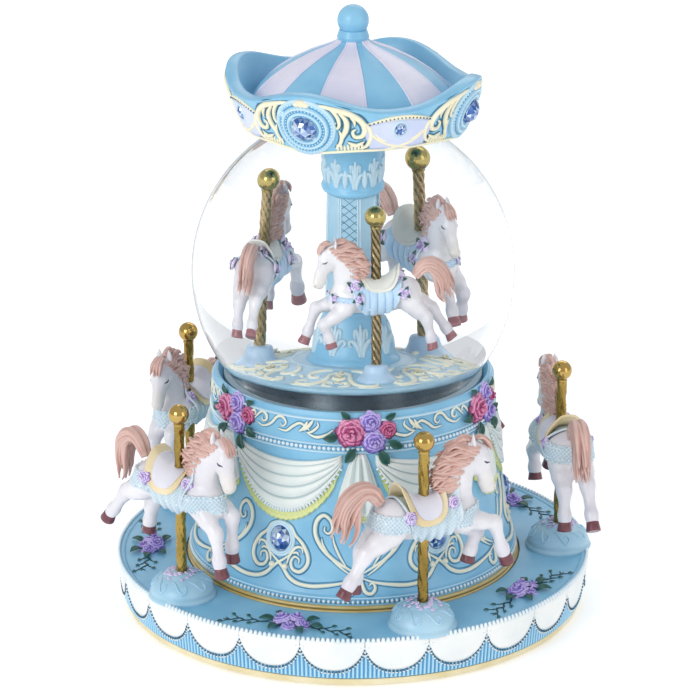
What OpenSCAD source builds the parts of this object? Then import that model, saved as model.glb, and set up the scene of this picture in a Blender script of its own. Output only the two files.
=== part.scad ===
// Wind-up carousel music box: a liquid-filled glass globe with three horses inside,
// on a fixed drum, with five more horses on a ring that turns round the drum.
// Angles called "bearing" are measured from the front (-Y) towards +X. Millimetres, +Z up.

/* [Base] */
// Radius of the cream foot that the music box stands on
foot_r = 72.5; // [71.5:0.5:73.5]
// Thickness of the soft ring under the foot
pad_t = 0.8; // [0.5:0.1:1]
// Height of the top of the foot's rim
foot_top = 2.8; // [2.6:0.1:3]
// Distance of the winding key from the centre
key_y = 27; // [27:0.1:27]

/* [Turning ring] */
// Outer radius of the ring platform at its top
ring_r = 74.1; // [73.8:0.1:75]
// Height of the ring platform's top face
ring_top = 15.7; // [15.5:0.1:16]
// Radius of the circle of the five outer poles
outer_pole_pcd_r = 65.5; // [64:0.5:66]
// Bearing of the first outer pole
outer_phase = 18.6; // [0:0.1:71]
// Radius of an outer pole
outer_pole_r = 1.65; // [1.4:0.05:1.8]
// Radius of the ball on an outer pole
outer_ball_r = 3.1; // [2.8:0.1:3.4]
// Height of the centre of an outer ball
outer_ball_z = 74.7; // [74:0.1:76]

/* [Drum] */
// Height of the drum's top rim
drum_top = 76.5; // [76:0.1:77]
// Bearing of the middle of the first of the six swags
swag_phase = -27.7; // [-30:0.1:29]
// Outer radius of the gold ring at the drum's foot
foot_ring_r = 52.6; // [52:0.1:52.7]

/* [Globe] */
// Outer radius of the glass globe
globe_r = 50; // [49.5:0.1:50.5]
// Height of the centre of the globe
globe_z = 107.7; // [107.5:0.1:108]
// Thickness of the glass
glass_t = 1.8; // [1.5:0.1:2]

/* [Inner carousel] */
// Radius of the turntable floor
floor_r = 31; // [29:0.5:31.5]
// Height of the top of the turntable floor
floor_top = 83.3; // [83:0.1:84]
// Radius of the circle of the three inner poles
inner_pole_pcd_r = 21; // [20:0.5:22]
// Bearing of the first inner pole
inner_phase = 16.5; // [0:0.1:119]
// Radius of an inner pole
inner_pole_r = 1.3; // [1.1:0.05:1.4]
// Radius of the ball on an inner pole
inner_ball_r = 2.9; // [2.5:0.1:3]
// Height of the centre of an inner ball
inner_ball_z = 129.3; // [128:0.1:130]

/* [Canopy] */
// Height of the crown's lower edge
crown_z = 155; // [155:0.1:156]
// Radius of the crown's lower edge
crown_low_r = 33.5; // [33:0.1:34]
// Radius of the crown's upper edge between its arches
crown_high_r = 37.6; // [37:0.1:38]
// Height of the crown's upper edge between its arches
crown_high_z = 168; // [167.5:0.1:168.5]
// Bearing of the first of the four large gems
gem_phase = 67.5; // [0:0.5:89]
// Radius of the finial ball
finial_r = 4.8; // [4.5:0.1:5]
// Height of the top of the finial
top_z = 191.9; // [191:0.1:193]

/* [Drive] */
// Teeth of the sun gear on the centre shaft
sun_teeth = 24; // [24]
// Teeth of each of the three idlers
idler_teeth = 36; // [36]
// Module of the sun, idlers and ring gear
train_m = 1; // [1]
// Bottom of the gear train
train_z = 10; // [10]
// Thickness of the gears in the train
train_t = 3; // [2.8:0.1:3]
// Radius of the centre shaft
shaft_r = 2; // [1.8:0.1:2]

/* [Hidden] */
$fn = 96;

// Colours
cream = "#efe6cf";
sky = "#8fc3e0";
gold = "#c79a3a";
brass = "#b8923f";
steel = "#a8adb3";
pearl = "#e9e4ee";
lilac = "#a58bd6";
gem_blue = "#2f62ad";

// Clearances
gap = 0.4;         // between parts that move past each other
run = 0.06;        // radial, shaft in a bush

// Ring platform
ring_plate_t = 2.8;
ring_hole_r = 53.2;
skirt_t = 2.6;
skirt_low_r = 73;
skirt_low_z = foot_top + 0.5;
mount_r = 10;
mount_h = 7.4;
outer_yaw = 10;    // horses turn this far inwards from the ring's tangent

// Base
deck_z = 14.5;
deck_t = 2;
deck_top = deck_z + deck_t;
deck_r = 50.5;
rib_in = 40;
rib_out = 45;
rib_span = 26;     // half the arc of a rib, in degrees
key_cup_r = 13;
key_cup_wall = 1.5;
key_cup_top = 8;

// Gear train: sun on the centre shaft, three idlers, ring gear under the platform
sun_r = sun_teeth * train_m / 2;
idler_r = idler_teeth * train_m / 2;
idler_pcd_r = sun_r + idler_r;
ring_teeth = sun_teeth + 2 * idler_teeth;
ring_pitch_r = ring_teeth * train_m / 2;
ring_gear_out = 58;
IDLER_AT = [-90, 30, 150];       // directions of the idlers from +X

// Movement, laid out from the key's axis along the music cylinder
cyl_dir = -36.87;
gear_m = 0.75;
barrel_teeth = 36;
barrel_gear_z = 19;
barrel_gear_t = 2.5;
barrel_r = 11.8;
barrel_top = 30;
crown_teeth = 24;
pinion_teeth = 8;
cyl_axis_z = 34.6;
cyl_r = 6;
cyl_shaft_r = 1.5;
fly_gear_m = 0.5;
end_gear_teeth = 36;
fly_teeth = 12;
fly_axis_z = cyl_axis_z + (end_gear_teeth + fly_teeth) * fly_gear_m / 2;
frame_t = 2;
frame_top = deck_top + frame_t;
plate_screws = [[20, 3], [31, -5.5], [43, 0]];
comb_screws = [[20, 14], [32, 14]];

// Globe neck and what fills it
neck_r = 35;
neck_bore = 33;
neck_top = 72.6;
neck_low = 62;
plug_top = 71.5;
rotor_r = 24;
rotor_low = 72.8;
floor_low = 81;
pin_r = 1.5;

// Inner horses are smaller casts of the outer ones
inner_scale = 0.68;

// ---------------------------------------------------------------- helpers

// Puts its child on a circle at a bearing, its own -Y facing outwards
module at_bearing(bearing, r = 0, z = 0) {
    rotate([0, 0, bearing]) translate([0, -r, z]) children();
}

// Corner points of a gear; a ring gear has its teeth pointing inwards
function gear_points(teeth, m, first = 0, inward = false) = [
    for (i = [0 : teeth - 1], c = [0 : 3])
        let (pitch = 360 / teeth,
             side = c < 2 ? -1 : 1,
             tip = c == 1 || c == 2,
             half = pitch * (tip ? 0.13 : 0.25),
             r = teeth * m / 2 + (tip ? 0.85 : -1.1) * m * (inward ? -1 : 1),
             a = first + i * pitch + side * half)
        [r * cos(a), r * sin(a)]
];

module gear(teeth, m, t, bore, first = 0) {
    linear_extrude(t) difference() {
        polygon(gear_points(teeth, m, first));
        circle(bore);
    }
}

// Small round-head screw standing on z = 0, shank downwards
screw_r = 1;
screw_l = 4.5;
module screw() {
    cylinder(r1 = 1.8, r2 = 1.3, h = 1.2, $fn = 32);
    translate([0, 0, -screw_l]) cylinder(r = screw_r, h = screw_l + 0.1, $fn = 32);
}

// Frame of the movement: origin on the key's axis, +X along the music cylinder
module movement_at(x = 0, y = 0, z = 0) {
    translate([0, key_y, 0]) rotate([0, 0, cyl_dir]) translate([x, y, z]) children();
}

// ---------------------------------------------------------------- base

module foot_pad() {
    color("#5a5550") difference() {
        cylinder(r = 70, h = pad_t);
        translate([0, 0, -1]) cylinder(r = 60, h = pad_t + 2);
    }
}

module rib_wall() {
    intersection() {
        difference() {
            cylinder(r = rib_out, h = deck_z - foot_top + 0.5);
            translate([0, 0, -1]) cylinder(r = rib_in, h = deck_z);
        }
        linear_extrude(deck_z) polygon([
            [0, 0],
            for (s = [-1, 0, 1]) 60 * [cos(s * rib_span), sin(s * rib_span)]
        ]);
    }
}

module base_tray() {
    color(cream) difference() {
        union() {
            translate([0, 0, pad_t])
                cylinder(r1 = foot_r, r2 = foot_r + 0.4, h = foot_top - pad_t);
            for (a = IDLER_AT) rotate([0, 0, a + 60])
                translate([0, 0, foot_top - 0.5]) rib_wall();
            translate([0, key_y, pad_t])
                cylinder(r = key_cup_r + key_cup_wall, h = key_cup_top + 1.3 - pad_t);
            translate([0, 0, foot_top - 0.5]) cylinder(r = 7, h = 5);
        }
        translate([0, key_y, 0]) {
            cylinder(r = key_cup_r, h = key_cup_top);
            cylinder(r = 3.2, h = 20);
        }
        translate([0, 0, foot_top]) cylinder(r = 4, h = 20);
        for (a = IDLER_AT) rotate([0, 0, a + 60])
            translate([42.5, 0, deck_top - screw_l]) cylinder(r = screw_r, h = 10, $fn = 32);
    }
}

// Low-friction track that carries the turning ring
module glide_ring() {
    color("ivory") translate([0, 0, foot_top]) difference() {
        cylinder(r = 62.5, h = ring_top - ring_plate_t - gap - foot_top);
        translate([0, 0, -1]) cylinder(r = ring_gear_out + 0.5, h = 20);
    }
}

module deck_plate() {
    color(steel) difference() {
        translate([0, 0, deck_z]) cylinder(r = deck_r, h = deck_t);
        cylinder(r = 4, h = 30);
        translate([0, key_y, 0]) cylinder(r = 3.2, h = 30);
        for (a = IDLER_AT) rotate([0, 0, a + 60])
            translate([42.5, 0, 0]) cylinder(r = screw_r, h = 30, $fn = 32);
        for (p = plate_screws) movement_at(p[0], p[1]) cylinder(r = screw_r, h = 30, $fn = 32);
    }
}

module frame_screws() {
    color(steel) {
        for (a = IDLER_AT) rotate([0, 0, a + 60]) translate([42.5, 0, deck_top]) screw();
        for (p = plate_screws) movement_at(p[0], p[1], frame_top) screw();
        for (p = comb_screws) movement_at(p[0], p[1], cyl_axis_z + 0.5) screw();
    }
}

module idler_studs() {
    color(steel) for (a = IDLER_AT) rotate([0, 0, a]) translate([idler_pcd_r, 0, foot_top]) {
        cylinder(r = 3.5, h = train_z - 0.3 - foot_top);
        cylinder(r = shaft_r, h = deck_z - foot_top);
    }
}

module shaft_bushes() {
    color(brass) for (z = [foot_top, deck_z - 1.1]) translate([0, 0, z]) difference() {
        cylinder(r = 4, h = 4.5);
        translate([0, 0, -1]) cylinder(r = shaft_r + run, h = 7);
    }
}

// ---------------------------------------------------------------- movement

// Upright bracket across the cylinder's axis, with one or two bores
module bracket(x, t, top, bores) {
    difference() {
        translate([x, -4, frame_top - 0.5]) cube([t, 8, top - frame_top + 0.5]);
        for (b = bores) translate([x - 1, 0, b[0]]) rotate([0, 90, 0])
            cylinder(r = b[1], h = t + 2, $fn = 48);
    }
}

module movement_frame() {
    color(brass) movement_at() difference() {
        union() {
            translate([0, 0, deck_top]) linear_extrude(frame_t)
                polygon([[-8, -8], [20, -8], [49, -5], [49, 5], [38, 16], [16, 16], [-8, 8]]);
            bracket(14.8, 1.2, cyl_axis_z + 4, [[cyl_axis_z, cyl_shaft_r + run]]);
            bracket(36, 1.2, fly_axis_z + 3,
                    [[cyl_axis_z, cyl_shaft_r + run], [fly_axis_z, 0.76]]);
            bracket(47.4, 1.2, fly_axis_z + 3, [[fly_axis_z, 0.76]]);
            translate([17, 12.3, frame_top - 0.5])
                cube([18, 3.2, cyl_axis_z - 0.5 - frame_top + 0.5]);
        }
        cylinder(r = shaft_r + run, h = 30);
        for (p = plate_screws) translate([p[0], p[1], 0])
            cylinder(r = screw_r, h = 30, $fn = 32);
        for (p = comb_screws) translate([p[0], p[1], cyl_axis_z + 0.5 - screw_l])
            cylinder(r = screw_r, h = 10, $fn = 32);
    }
}

// Steel comb of 18 tuned teeth; its tips stop just short of the cylinder's pins
module tone_comb() {
    comb_teeth = 18;
    pitch = 1;
    color(steel) movement_at(17, 0, cyl_axis_z - 0.5) difference() {
        linear_extrude(1) polygon([
            [0, 15.5],
            for (i = [0 : comb_teeth - 1]) each [
                [i * pitch, 12.3], [i * pitch, 7.2], [i * pitch + 0.7, 7.2],
                [i * pitch + 0.7, 12.3]
            ],
            [comb_teeth * pitch, 12.3], [comb_teeth * pitch, 15.5]
        ]);
        for (p = comb_screws) translate([p[0] - 17, p[1], -1])
            cylinder(r = screw_r, h = 5, $fn = 32);
    }
}

// Barrel with the great wheel below and crown teeth on its rim
module spring_barrel() {
    color(brass) movement_at() {
        difference() {
            union() {
                translate([0, 0, barrel_gear_z]) linear_extrude(barrel_gear_t)
                    polygon(gear_points(barrel_teeth, gear_m, 270 + 5 - cyl_dir));
                translate([0, 0, barrel_gear_z])
                    cylinder(r = barrel_r, h = barrel_top - barrel_gear_z);
            }
            cylinder(r = shaft_r + run, h = 40);
            translate([0, 0, 22.5]) cylinder(r = 9.8, h = 20);
        }
        for (i = [0 : crown_teeth - 1]) rotate([0, 0, (i + 0.5) * 360 / crown_teeth])
            translate([9.85, -0.4, barrel_top - 0.5]) cube([1.85, 0.8, 2.2]);
    }
}

// Spiral strip of the mainspring, wound inside the barrel
module mainspring() {
    turns = 5;
    steps = 24 * turns;
    pitch = 1.2;
    strip = 0.4;
    function on_spiral(i, off) = let (a = i * 360 / 24, r = 3.2 + pitch * i / 24 + off)
        [r * cos(a), r * sin(a)];
    color("#6d7075") movement_at(0, 0, 22.9) linear_extrude(6.4) polygon(concat(
        [for (i = [0 : steps]) on_spiral(i, 0)],
        [for (i = [steps : -1 : 0]) on_spiral(i, strip)]
    ));
}

module spring_arbor() {
    color(steel) translate([0, key_y, 4.5]) cylinder(r = shaft_r, h = 28.5);
}

module winding_key() {
    wing = 11;
    color(brass) translate([0, key_y, 0]) difference() {
        union() {
            translate([0, 0, 3]) cylinder(r = 3, h = 4.5);
            translate([-wing + 2.6, -1.1, 1.3]) cube([2 * wing - 5.2, 2.2, 5.2]);
            for (s = [-1, 1]) translate([s * (wing - 2.6), 1.1, 3.9]) rotate([90, 0, 0])
                cylinder(r = 2.6, h = 2.2, $fn = 48);
        }
        translate([0, 0, 4.5]) cylinder(r = shaft_r, h = 10);
    }
}

module music_cylinder() {
    tracks = 18;
    color(brass) movement_at(0, 0, cyl_axis_z) rotate([0, 90, 0]) {
        translate([0, 0, 9.8]) cylinder(r = cyl_shaft_r, h = 29.7, $fn = 48);
        translate([0, 0, 16.6]) cylinder(r = cyl_r, h = 18.6);
        // pinion driven by the barrel's crown teeth
        translate([0, 0, 9.9]) linear_extrude(1.8) polygon([
            for (i = [0 : pinion_teeth - 1], c = [0 : 3])
                let (tip = c == 1 || c == 2,
                     a = i * 360 / pinion_teeth + (c < 2 ? -1 : 1) * (tip ? 3.2 : 9),
                     r = tip ? 4.25 : 2.6)
                [r * cos(a), r * sin(a)]
        ]);
        translate([0, 0, 38]) linear_extrude(1.5)
            polygon(gear_points(end_gear_teeth, fly_gear_m, 0));
        for (i = [0 : tracks - 1]) rotate([0, 0, i * 137.5])
            translate([cyl_r - 0.4, 0, 17.3 + i]) rotate([0, 90, 0])
                cylinder(r = 0.25, h = 1.2, $fn = 16);
    }
}

// Air brake: small pinion, thin shaft and two blades
module governor_fly() {
    color(steel) movement_at(0, 0, fly_axis_z) rotate([0, 90, 0]) {
        translate([0, 0, 35.4]) cylinder(r = 0.7, h = 13.6, $fn = 32);
        translate([0, 0, 38]) linear_extrude(1.5)
            polygon(gear_points(fly_teeth, fly_gear_m, 180 / fly_teeth));
        translate([-5, -0.4, 40.6]) cube([10, 0.8, 5.6]);
    }
}

// ---------------------------------------------------------------- drive

module center_shaft() {
    color(steel) translate([0, 0, foot_top + 0.7]) cylinder(r = shaft_r, h = 60 - foot_top - 0.7);
}

module sun_gear() {
    color(brass) translate([0, 0, train_z]) gear(sun_teeth, train_m, train_t, shaft_r, -90);
}

module center_gear() {
    color(brass) translate([0, 0, barrel_gear_z])
        gear(barrel_teeth, gear_m, barrel_gear_t, shaft_r, 90);
}

module drive_magnet() {
    color("#3c3f44") translate([0, 0, 56]) difference() {
        cylinder(r = 20, h = 4);
        translate([0, 0, -1]) cylinder(r = shaft_r, h = 6);
    }
}

module idler_gear(i) {
    a = IDLER_AT[i - 1];
    color("ivory") rotate([0, 0, a]) translate([idler_pcd_r, 0, train_z])
        gear(idler_teeth, train_m, train_t, shaft_r + run, 180 / idler_teeth);
}

module ring_gear() {
    color("ivory") translate([0, 0, ring_top - ring_plate_t - train_t]) difference() {
        cylinder(r = ring_gear_out, h = train_t);
        translate([0, 0, -1]) linear_extrude(train_t + 2)
            polygon(gear_points(ring_teeth, train_m, -90, true));
        for (i = [0 : 5]) rotate([0, 0, 60 * i]) translate([54.8, 0, -1])
            cylinder(r = screw_r, h = 6, $fn = 32);
    }
}

module ring_gear_screws() {
    color(steel) for (i = [0 : 5]) rotate([0, 0, 60 * i])
        translate([54.8, 0, ring_top - ring_plate_t - train_t]) mirror([0, 0, 1]) screw();
}

// ---------------------------------------------------------------- turning ring

module ring_platform() {
    color(sky) difference() {
        rotate_extrude() polygon([
            [ring_hole_r, ring_top - ring_plate_t], [ring_hole_r, ring_top],
            [ring_r - 0.5, ring_top], [ring_r, ring_top - 0.5],
            [ring_r, ring_top - 2.2], [ring_r - 0.6, ring_top - 2.6],
            [skirt_low_r, skirt_low_z], [skirt_low_r - skirt_t, skirt_low_z],
            [ring_r - skirt_t - 0.6, ring_top - ring_plate_t]
        ]);
        for (i = [0 : 5]) rotate([0, 0, 60 * i])
            translate([54.8, 0, ring_top - ring_plate_t - train_t])
                cylinder(r = screw_r, h = screw_l, $fn = 32);
    }
}

module pole_mounts() {
    color(sky) for (k = [0 : 4]) at_bearing(outer_phase + 72 * k, outer_pole_pcd_r, ring_top)
        rotate_extrude() polygon([
            [outer_pole_r, 0], [mount_r, 0], [mount_r, 1.5], [mount_r - 0.9, 3.6],
            [7, 5.4], [4.6, 6.6], [2.8, mount_h], [outer_pole_r, mount_h]
        ]);
}

module outer_pole(k) {
    color(gold) at_bearing(outer_phase + 72 * (k - 1), outer_pole_pcd_r) {
        translate([0, 0, ring_top])
            cylinder(r = outer_pole_r, h = outer_ball_z - ring_top, $fn = 48);
        translate([0, 0, outer_ball_z]) sphere(outer_ball_r, $fn = 48);
    }
}

// Low cluster of roses and leaves on the platform, halfway between two poles
module platform_roses() {
    color(lilac) for (k = [0 : 4]) at_bearing(outer_phase + 36 + 72 * k, 63.5, ring_top) {
        for (p = [[-3.4, 0.6, 2.8], [2.6, -1.6, 3.1], [1.6, 3.2, 2.4]])
            translate([p[0], p[1], 0]) cylinder(r1 = p[2] + 0.6, r2 = p[2] - 1, h = 3.4, $fn = 12);
        linear_extrude(0.5) polygon([[-11, 0], [-3, -5], [7, -4.4], [11, 1], [4, 6], [-5, 4.5]]);
    }
}

// ---------------------------------------------------------------- horses

// Each limb is a chain of [x, y, z, radius] balls; x runs forwards, z is above the floor.
// The two casts: one gallops with its head up, the other bows its head and kicks back.
GALLOP_CHAINS = [
    [[-11, 0, 52, 6.3], [0, 0, 50.3, 6], [11, 0, 50.5, 6.2]],
    [[11, 0, 53, 5.4], [11.5, 0, 62, 4.4], [15.5, 0, 69, 3]],
    [[16, 0, 68.5, 3.4], [22, 0, 57, 2.2]],
    [[13, -3.5, 48.5, 3], [22.5, -3.5, 46, 1.9], [26.4, -3.5, 34, 1.7]],
    [[12, 3.5, 46.5, 3], [20.6, 3.5, 41, 1.9], [17.8, 3.5, 33.5, 1.7]],
    [[-13, -3.2, 49, 3.8], [-21, -3.4, 44.6, 2.1], [-28.5, -3.6, 33.5, 1.8]],
    [[-13, 3.2, 48, 3.8], [-19, 3.4, 42.5, 2.1], [-21.5, 3.6, 31.5, 1.8]],
    [[-15, 0, 58.5, 2], [-21, 0, 62.8, 2.6], [-27, 0, 58, 2.8], [-29, 0, 47.5, 2]]
];
KICK_CHAINS = [
    [[-11, 0, 51.5, 6.2], [0, 0, 50.3, 6], [10, 0, 51, 6.2]],
    [[10, 0, 54, 5.4], [11.5, 0, 62, 4.4], [16, 0, 68, 3.2]],
    [[16.5, 0, 67.5, 3.4], [21.5, 0, 57.5, 2.2]],
    [[12, -3.5, 48.5, 3], [18.8, -3.5, 42.4, 1.9], [20.8, -3.5, 30.6, 1.7]],
    [[12, 3.5, 49, 3], [19, 3.5, 46, 1.9], [18.6, 3.5, 33, 1.7]],
    [[-13, -3.2, 48.5, 3.8], [-20, -3.4, 45.6, 2.1], [-28.4, -3.6, 35.2, 1.8]],
    [[-12, 3.2, 47.5, 3.6], [-16.3, 3.4, 40, 2.1], [-18.1, 3.6, 32.6, 1.8]],
    [[-14, 0, 57.5, 2], [-19.4, 0, 62.6, 2.6], [-24.5, 0, 56, 2.6], [-23.6, 0, 48.5, 1.8]]
];
limb_fn = 8;

module chain(balls) {
    for (i = [0 : len(balls) - 2]) hull() for (b = [balls[i], balls[i + 1]])
        translate([b[0], b[1], b[2]]) sphere(b[3], $fn = limb_fn);
}

module horse(chains, bore) {
    difference() {
        for (c = chains) chain(c);
        cylinder(r = bore, h = 90, $fn = 24);
    }
}

module outer_horse(k) {
    at_bearing(outer_phase + 72 * (k - 1), outer_pole_pcd_r) rotate([0, 0, outer_yaw])
        color(pearl) horse(k == 5 || k == 4 ? KICK_CHAINS : GALLOP_CHAINS, outer_pole_r + 0.15);
}

module inner_horse(k) {
    at_bearing(inner_phase + 120 * (k - 1), inner_pole_pcd_r, floor_top + 5.2 - 23.1 * inner_scale)
        rotate([0, 0, 180 - outer_yaw]) scale(inner_scale)
            color(pearl) horse(GALLOP_CHAINS, (inner_pole_r + 0.15) / inner_scale);
}

// ---------------------------------------------------------------- drum

drum_wall = 3;
// Outside of the drum from its foot to its rim
DRUM_SIDE = [
    [50.5, 17.1], [51.5, 17.2], [51.2, 20.5], [49.6, 25], [48.2, 30], [46.6, 40],
    [45.4, 50], [44.6, 60], [44, 70], [43.5, 75.5], [43, 76.5]
];

module drum_shell() {
    color(sky) rotate_extrude() polygon(concat(
        [[deck_r, deck_top]], DRUM_SIDE, [[42.2, drum_top], [41.5, drum_top - 1.2]],
        [for (i = [9 : -1 : 3]) [DRUM_SIDE[i][0] - drum_wall, DRUM_SIDE[i][1] - 1.6]],
        [[47.5, deck_top]]
    ));
}

module drum_foot_ring() {
    color(gold) rotate_extrude() polygon([
        [deck_r, 14.9], [foot_ring_r, 14.9], [foot_ring_r, 15.7], [foot_ring_r - 0.5, 15.9],
        [foot_ring_r - 0.2, 16.2], [foot_ring_r - 0.2, 16.8], [foot_ring_r - 0.6, 17.1],
        [deck_r, 17.1]
    ]);
}

// Faceted oval stones, set proud of the drum below each swag
module drum_jewels() {
    color(gem_blue) for (k = [0 : 5]) at_bearing(swag_phase + 60 * k, 47.45, 35.5)
        rotate([81, 0, 0]) cylinder(r1 = 3.9, r2 = 2.4, h = 1.6, $fn = 12);
}

// Rose clusters glued on below the rim
module drum_roses() {
    color("#c9589a") for (k = [0 : 5]) at_bearing(swag_phase + 33 + 60 * k, 44.15, 70.5) {
        for (p = [[-5, 1.2, 3.9], [1.9, -2, 3.3], [0.8, 4.4, 3], [5.5, 1.4, 2.4]])
            translate([p[0], 0, p[1]]) rotate([86, 0, p[0] * 1.2])
                cylinder(r1 = p[2], r2 = p[2] - 0.9, h = 3.4, $fn = 12);
    }
}

// Gasket between the drum's rim and the globe
module globe_seat() {
    color("#79b0d0") difference() {
        translate([0, 0, 72.5]) cylinder(r = 40.4, h = 3);
        translate([0, 0, globe_z]) sphere(globe_r + 0.05);
    }
}

// ---------------------------------------------------------------- globe

module glass_globe() {
    color([0.9, 0.95, 1, 0.35]) difference() {
        union() {
            difference() {
                translate([0, 0, globe_z]) sphere(globe_r, $fn = 128);
                translate([-60, -60, neck_top - 60]) cube([120, 120, 60]);
            }
            translate([0, 0, neck_low]) cylinder(r = neck_r, h = neck_top - neck_low + 0.01);
        }
        difference() {
            translate([0, 0, globe_z]) sphere(globe_r - glass_t, $fn = 128);
            translate([-60, -60, neck_top - 60]) cube([120, 120, 60]);
        }
        translate([0, 0, neck_low - 1]) cylinder(r = neck_bore, h = neck_top - neck_low + 2);
    }
}

// Rubber stopper that closes the globe's neck
module neck_plug() {
    color("#4a4a4d") difference() {
        translate([0, 0, neck_low]) cylinder(r = neck_bore, h = plug_top - neck_low);
        translate([0, 0, plug_top - 6]) cylinder(r = pin_r, h = 10, $fn = 48);
    }
}

module plug_clamp_ring() {
    color(steel) difference() {
        translate([0, 0, neck_low - 2]) cylinder(r = neck_r + 2.5, h = 2);
        cylinder(r = 26, h = 90);
    }
}

module pivot_pin() {
    color(steel) translate([0, 0, plug_top - 6]) cylinder(r = pin_r, h = 79.2 - plug_top + 6, $fn = 48);
}

// ---------------------------------------------------------------- inner carousel

// Sealed magnet carrier that follows the drive magnet through the plug
module follower_magnet() {
    color(steel) difference() {
        translate([0, 0, rotor_low]) cylinder(r = rotor_r, h = floor_low - rotor_low);
        translate([0, 0, rotor_low - 1]) cylinder(r = pin_r + run, h = 7.6, $fn = 48);
    }
}

module turntable_floor() {
    color(sky) {
        translate([0, 0, floor_low]) cylinder(r = floor_r, h = floor_top - floor_low);
        for (k = [0 : 2]) at_bearing(inner_phase + 120 * k, inner_pole_pcd_r, floor_top - 0.2)
            difference() {
                cylinder(r1 = 5.2, r2 = 3, h = 5.4, $fn = 64);
                translate([0, 0, 0.2]) cylinder(r = inner_pole_r, h = 8, $fn = 48);
            }
    }
}

// Octagonal column with a flared foot and a capital
module center_column() {
    color(sky) {
        translate([0, 0, floor_top]) rotate_extrude() polygon([
            [0, 0], [12.5, 0], [12.2, 2], [9.5, 4.5], [9, 8], [7.2, 12], [7.8, 13.5],
            [7.8, 15], [0, 15]
        ]);
        translate([0, 0, floor_top + 14.9]) cylinder(r = 7, h = 37.2, $fn = 8);
        translate([0, 0, floor_top + 52]) rotate_extrude() polygon([
            [0, 0], [8, 0], [8, 1.5], [6.9, 2.5], [7.4, 7], [9.8, 11], [9.8, 13], [0, 13]
        ]);
    }
}

module inner_pole(k) {
    color(gold) at_bearing(inner_phase + 120 * (k - 1), inner_pole_pcd_r) {
        translate([0, 0, floor_top])
            cylinder(r = inner_pole_r, h = inner_ball_z - floor_top, $fn = 48);
        translate([0, 0, inner_ball_z]) sphere(inner_ball_r, $fn = 48);
    }
}

// ---------------------------------------------------------------- canopy

crown_tilt = atan((crown_high_r - crown_low_r) / (crown_high_z - crown_z));
medal_r = 9.4;
medal_mid_z = 164.4;
medal_mid_r = 36.2;
large_gem_r = 3.9;

// Puts its child on the flared outside of the crown, +Z pointing out of the wall
module on_crown(bearing, r, z) {
    at_bearing(bearing, r, z) rotate([90 + crown_tilt, 0, 0]) children();
}

module canopy() {
    color(sky) difference() {
        union() {
            rotate_extrude() polygon([
                [0, crown_z], [crown_low_r, crown_z], [crown_high_r, crown_high_z],
                [crown_high_r - 4, crown_high_z + 1], [31.8, 164.5], [30.5, 165.2],
                [27.4, 169.2], [22.9, 173.1], [17, 175.8], [11, 177.9], [6.5, 179.6],
                [4.2, 180.8], [0, 180.8]
            ]);
            for (k = [0 : 3]) on_crown(gem_phase + 90 * k, medal_mid_r, medal_mid_z) {
                translate([0, 0, -3.6]) cylinder(r = medal_r, h = 4.6);
                cylinder(r = 6.4, h = 1.8);
            }
        }
        translate([0, 0, globe_z]) sphere(globe_r + 0.15);
        for (k = [0 : 3]) on_crown(gem_phase + 45 + 90 * k, 36, 162)
            cylinder(r = 2.2, h = 4, $fn = 32);
    }
}

module canopy_finial() {
    color(sky) {
        translate([0, 0, top_z - finial_r]) sphere(finial_r, $fn = 64);
        translate([0, 0, 180.8]) rotate_extrude() polygon([
            [0, 0], [4, 0], [4.7, 0.6], [4.9, 1.4], [4.5, 2.6], [4.2, 3.4], [0, 4]
        ]);
    }
}

module canopy_large_jewels() {
    color(gem_blue) for (k = [0 : 3]) on_crown(gem_phase + 90 * k, medal_mid_r, medal_mid_z)
        translate([0, 0, 1.8]) cylinder(r1 = large_gem_r, r2 = 2.4, h = 1.5, $fn = 12);
}

module canopy_small_jewels() {
    color(gem_blue) for (k = [0 : 3]) on_crown(gem_phase + 45 + 90 * k, 36, 162)
        cylinder(r1 = 2, r2 = 1.4, h = 1, $fn = 12);
}

// ---------------------------------------------------------------- what is drawn

foot_pad();
base_tray();
glide_ring();
deck_plate();
frame_screws();
idler_studs();
shaft_bushes();
movement_frame();
tone_comb();
drum_shell();
drum_foot_ring();
drum_jewels();
drum_roses();
globe_seat();
neck_plug();
plug_clamp_ring();
glass_globe();
pivot_pin();
canopy();
canopy_finial();
canopy_large_jewels();
canopy_small_jewels();
ring_platform();
ring_gear();
ring_gear_screws();
pole_mounts();
platform_roses();
for (k = [1 : 5]) {
    outer_pole(k);
    outer_horse(k);
}
turntable_floor();
center_column();
follower_magnet();
for (k = [1 : 3]) {
    inner_pole(k);
    inner_horse(k);
    idler_gear(k);
}
center_shaft();
sun_gear();
center_gear();
drive_magnet();
spring_barrel();
mainspring();
spring_arbor();
music_cylinder();
governor_fly();
winding_key();
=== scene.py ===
import math

import bmesh
import bpy
import numpy as np
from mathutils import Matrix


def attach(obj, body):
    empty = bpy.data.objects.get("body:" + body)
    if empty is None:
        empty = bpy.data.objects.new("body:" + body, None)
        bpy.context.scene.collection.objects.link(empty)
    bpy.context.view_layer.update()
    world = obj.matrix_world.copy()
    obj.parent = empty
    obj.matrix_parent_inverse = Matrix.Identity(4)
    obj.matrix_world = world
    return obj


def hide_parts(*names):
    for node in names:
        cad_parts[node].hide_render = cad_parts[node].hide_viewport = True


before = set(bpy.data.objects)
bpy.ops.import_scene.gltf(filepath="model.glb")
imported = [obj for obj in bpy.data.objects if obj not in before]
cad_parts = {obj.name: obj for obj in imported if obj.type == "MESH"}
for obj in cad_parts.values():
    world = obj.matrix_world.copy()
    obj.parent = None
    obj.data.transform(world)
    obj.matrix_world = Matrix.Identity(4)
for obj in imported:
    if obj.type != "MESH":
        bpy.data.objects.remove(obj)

for spare in ("Cube", "Light", "Camera"):
    if spare in bpy.data.objects:
        bpy.data.objects.remove(bpy.data.objects[spare])
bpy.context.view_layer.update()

MM = 0.001
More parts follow.
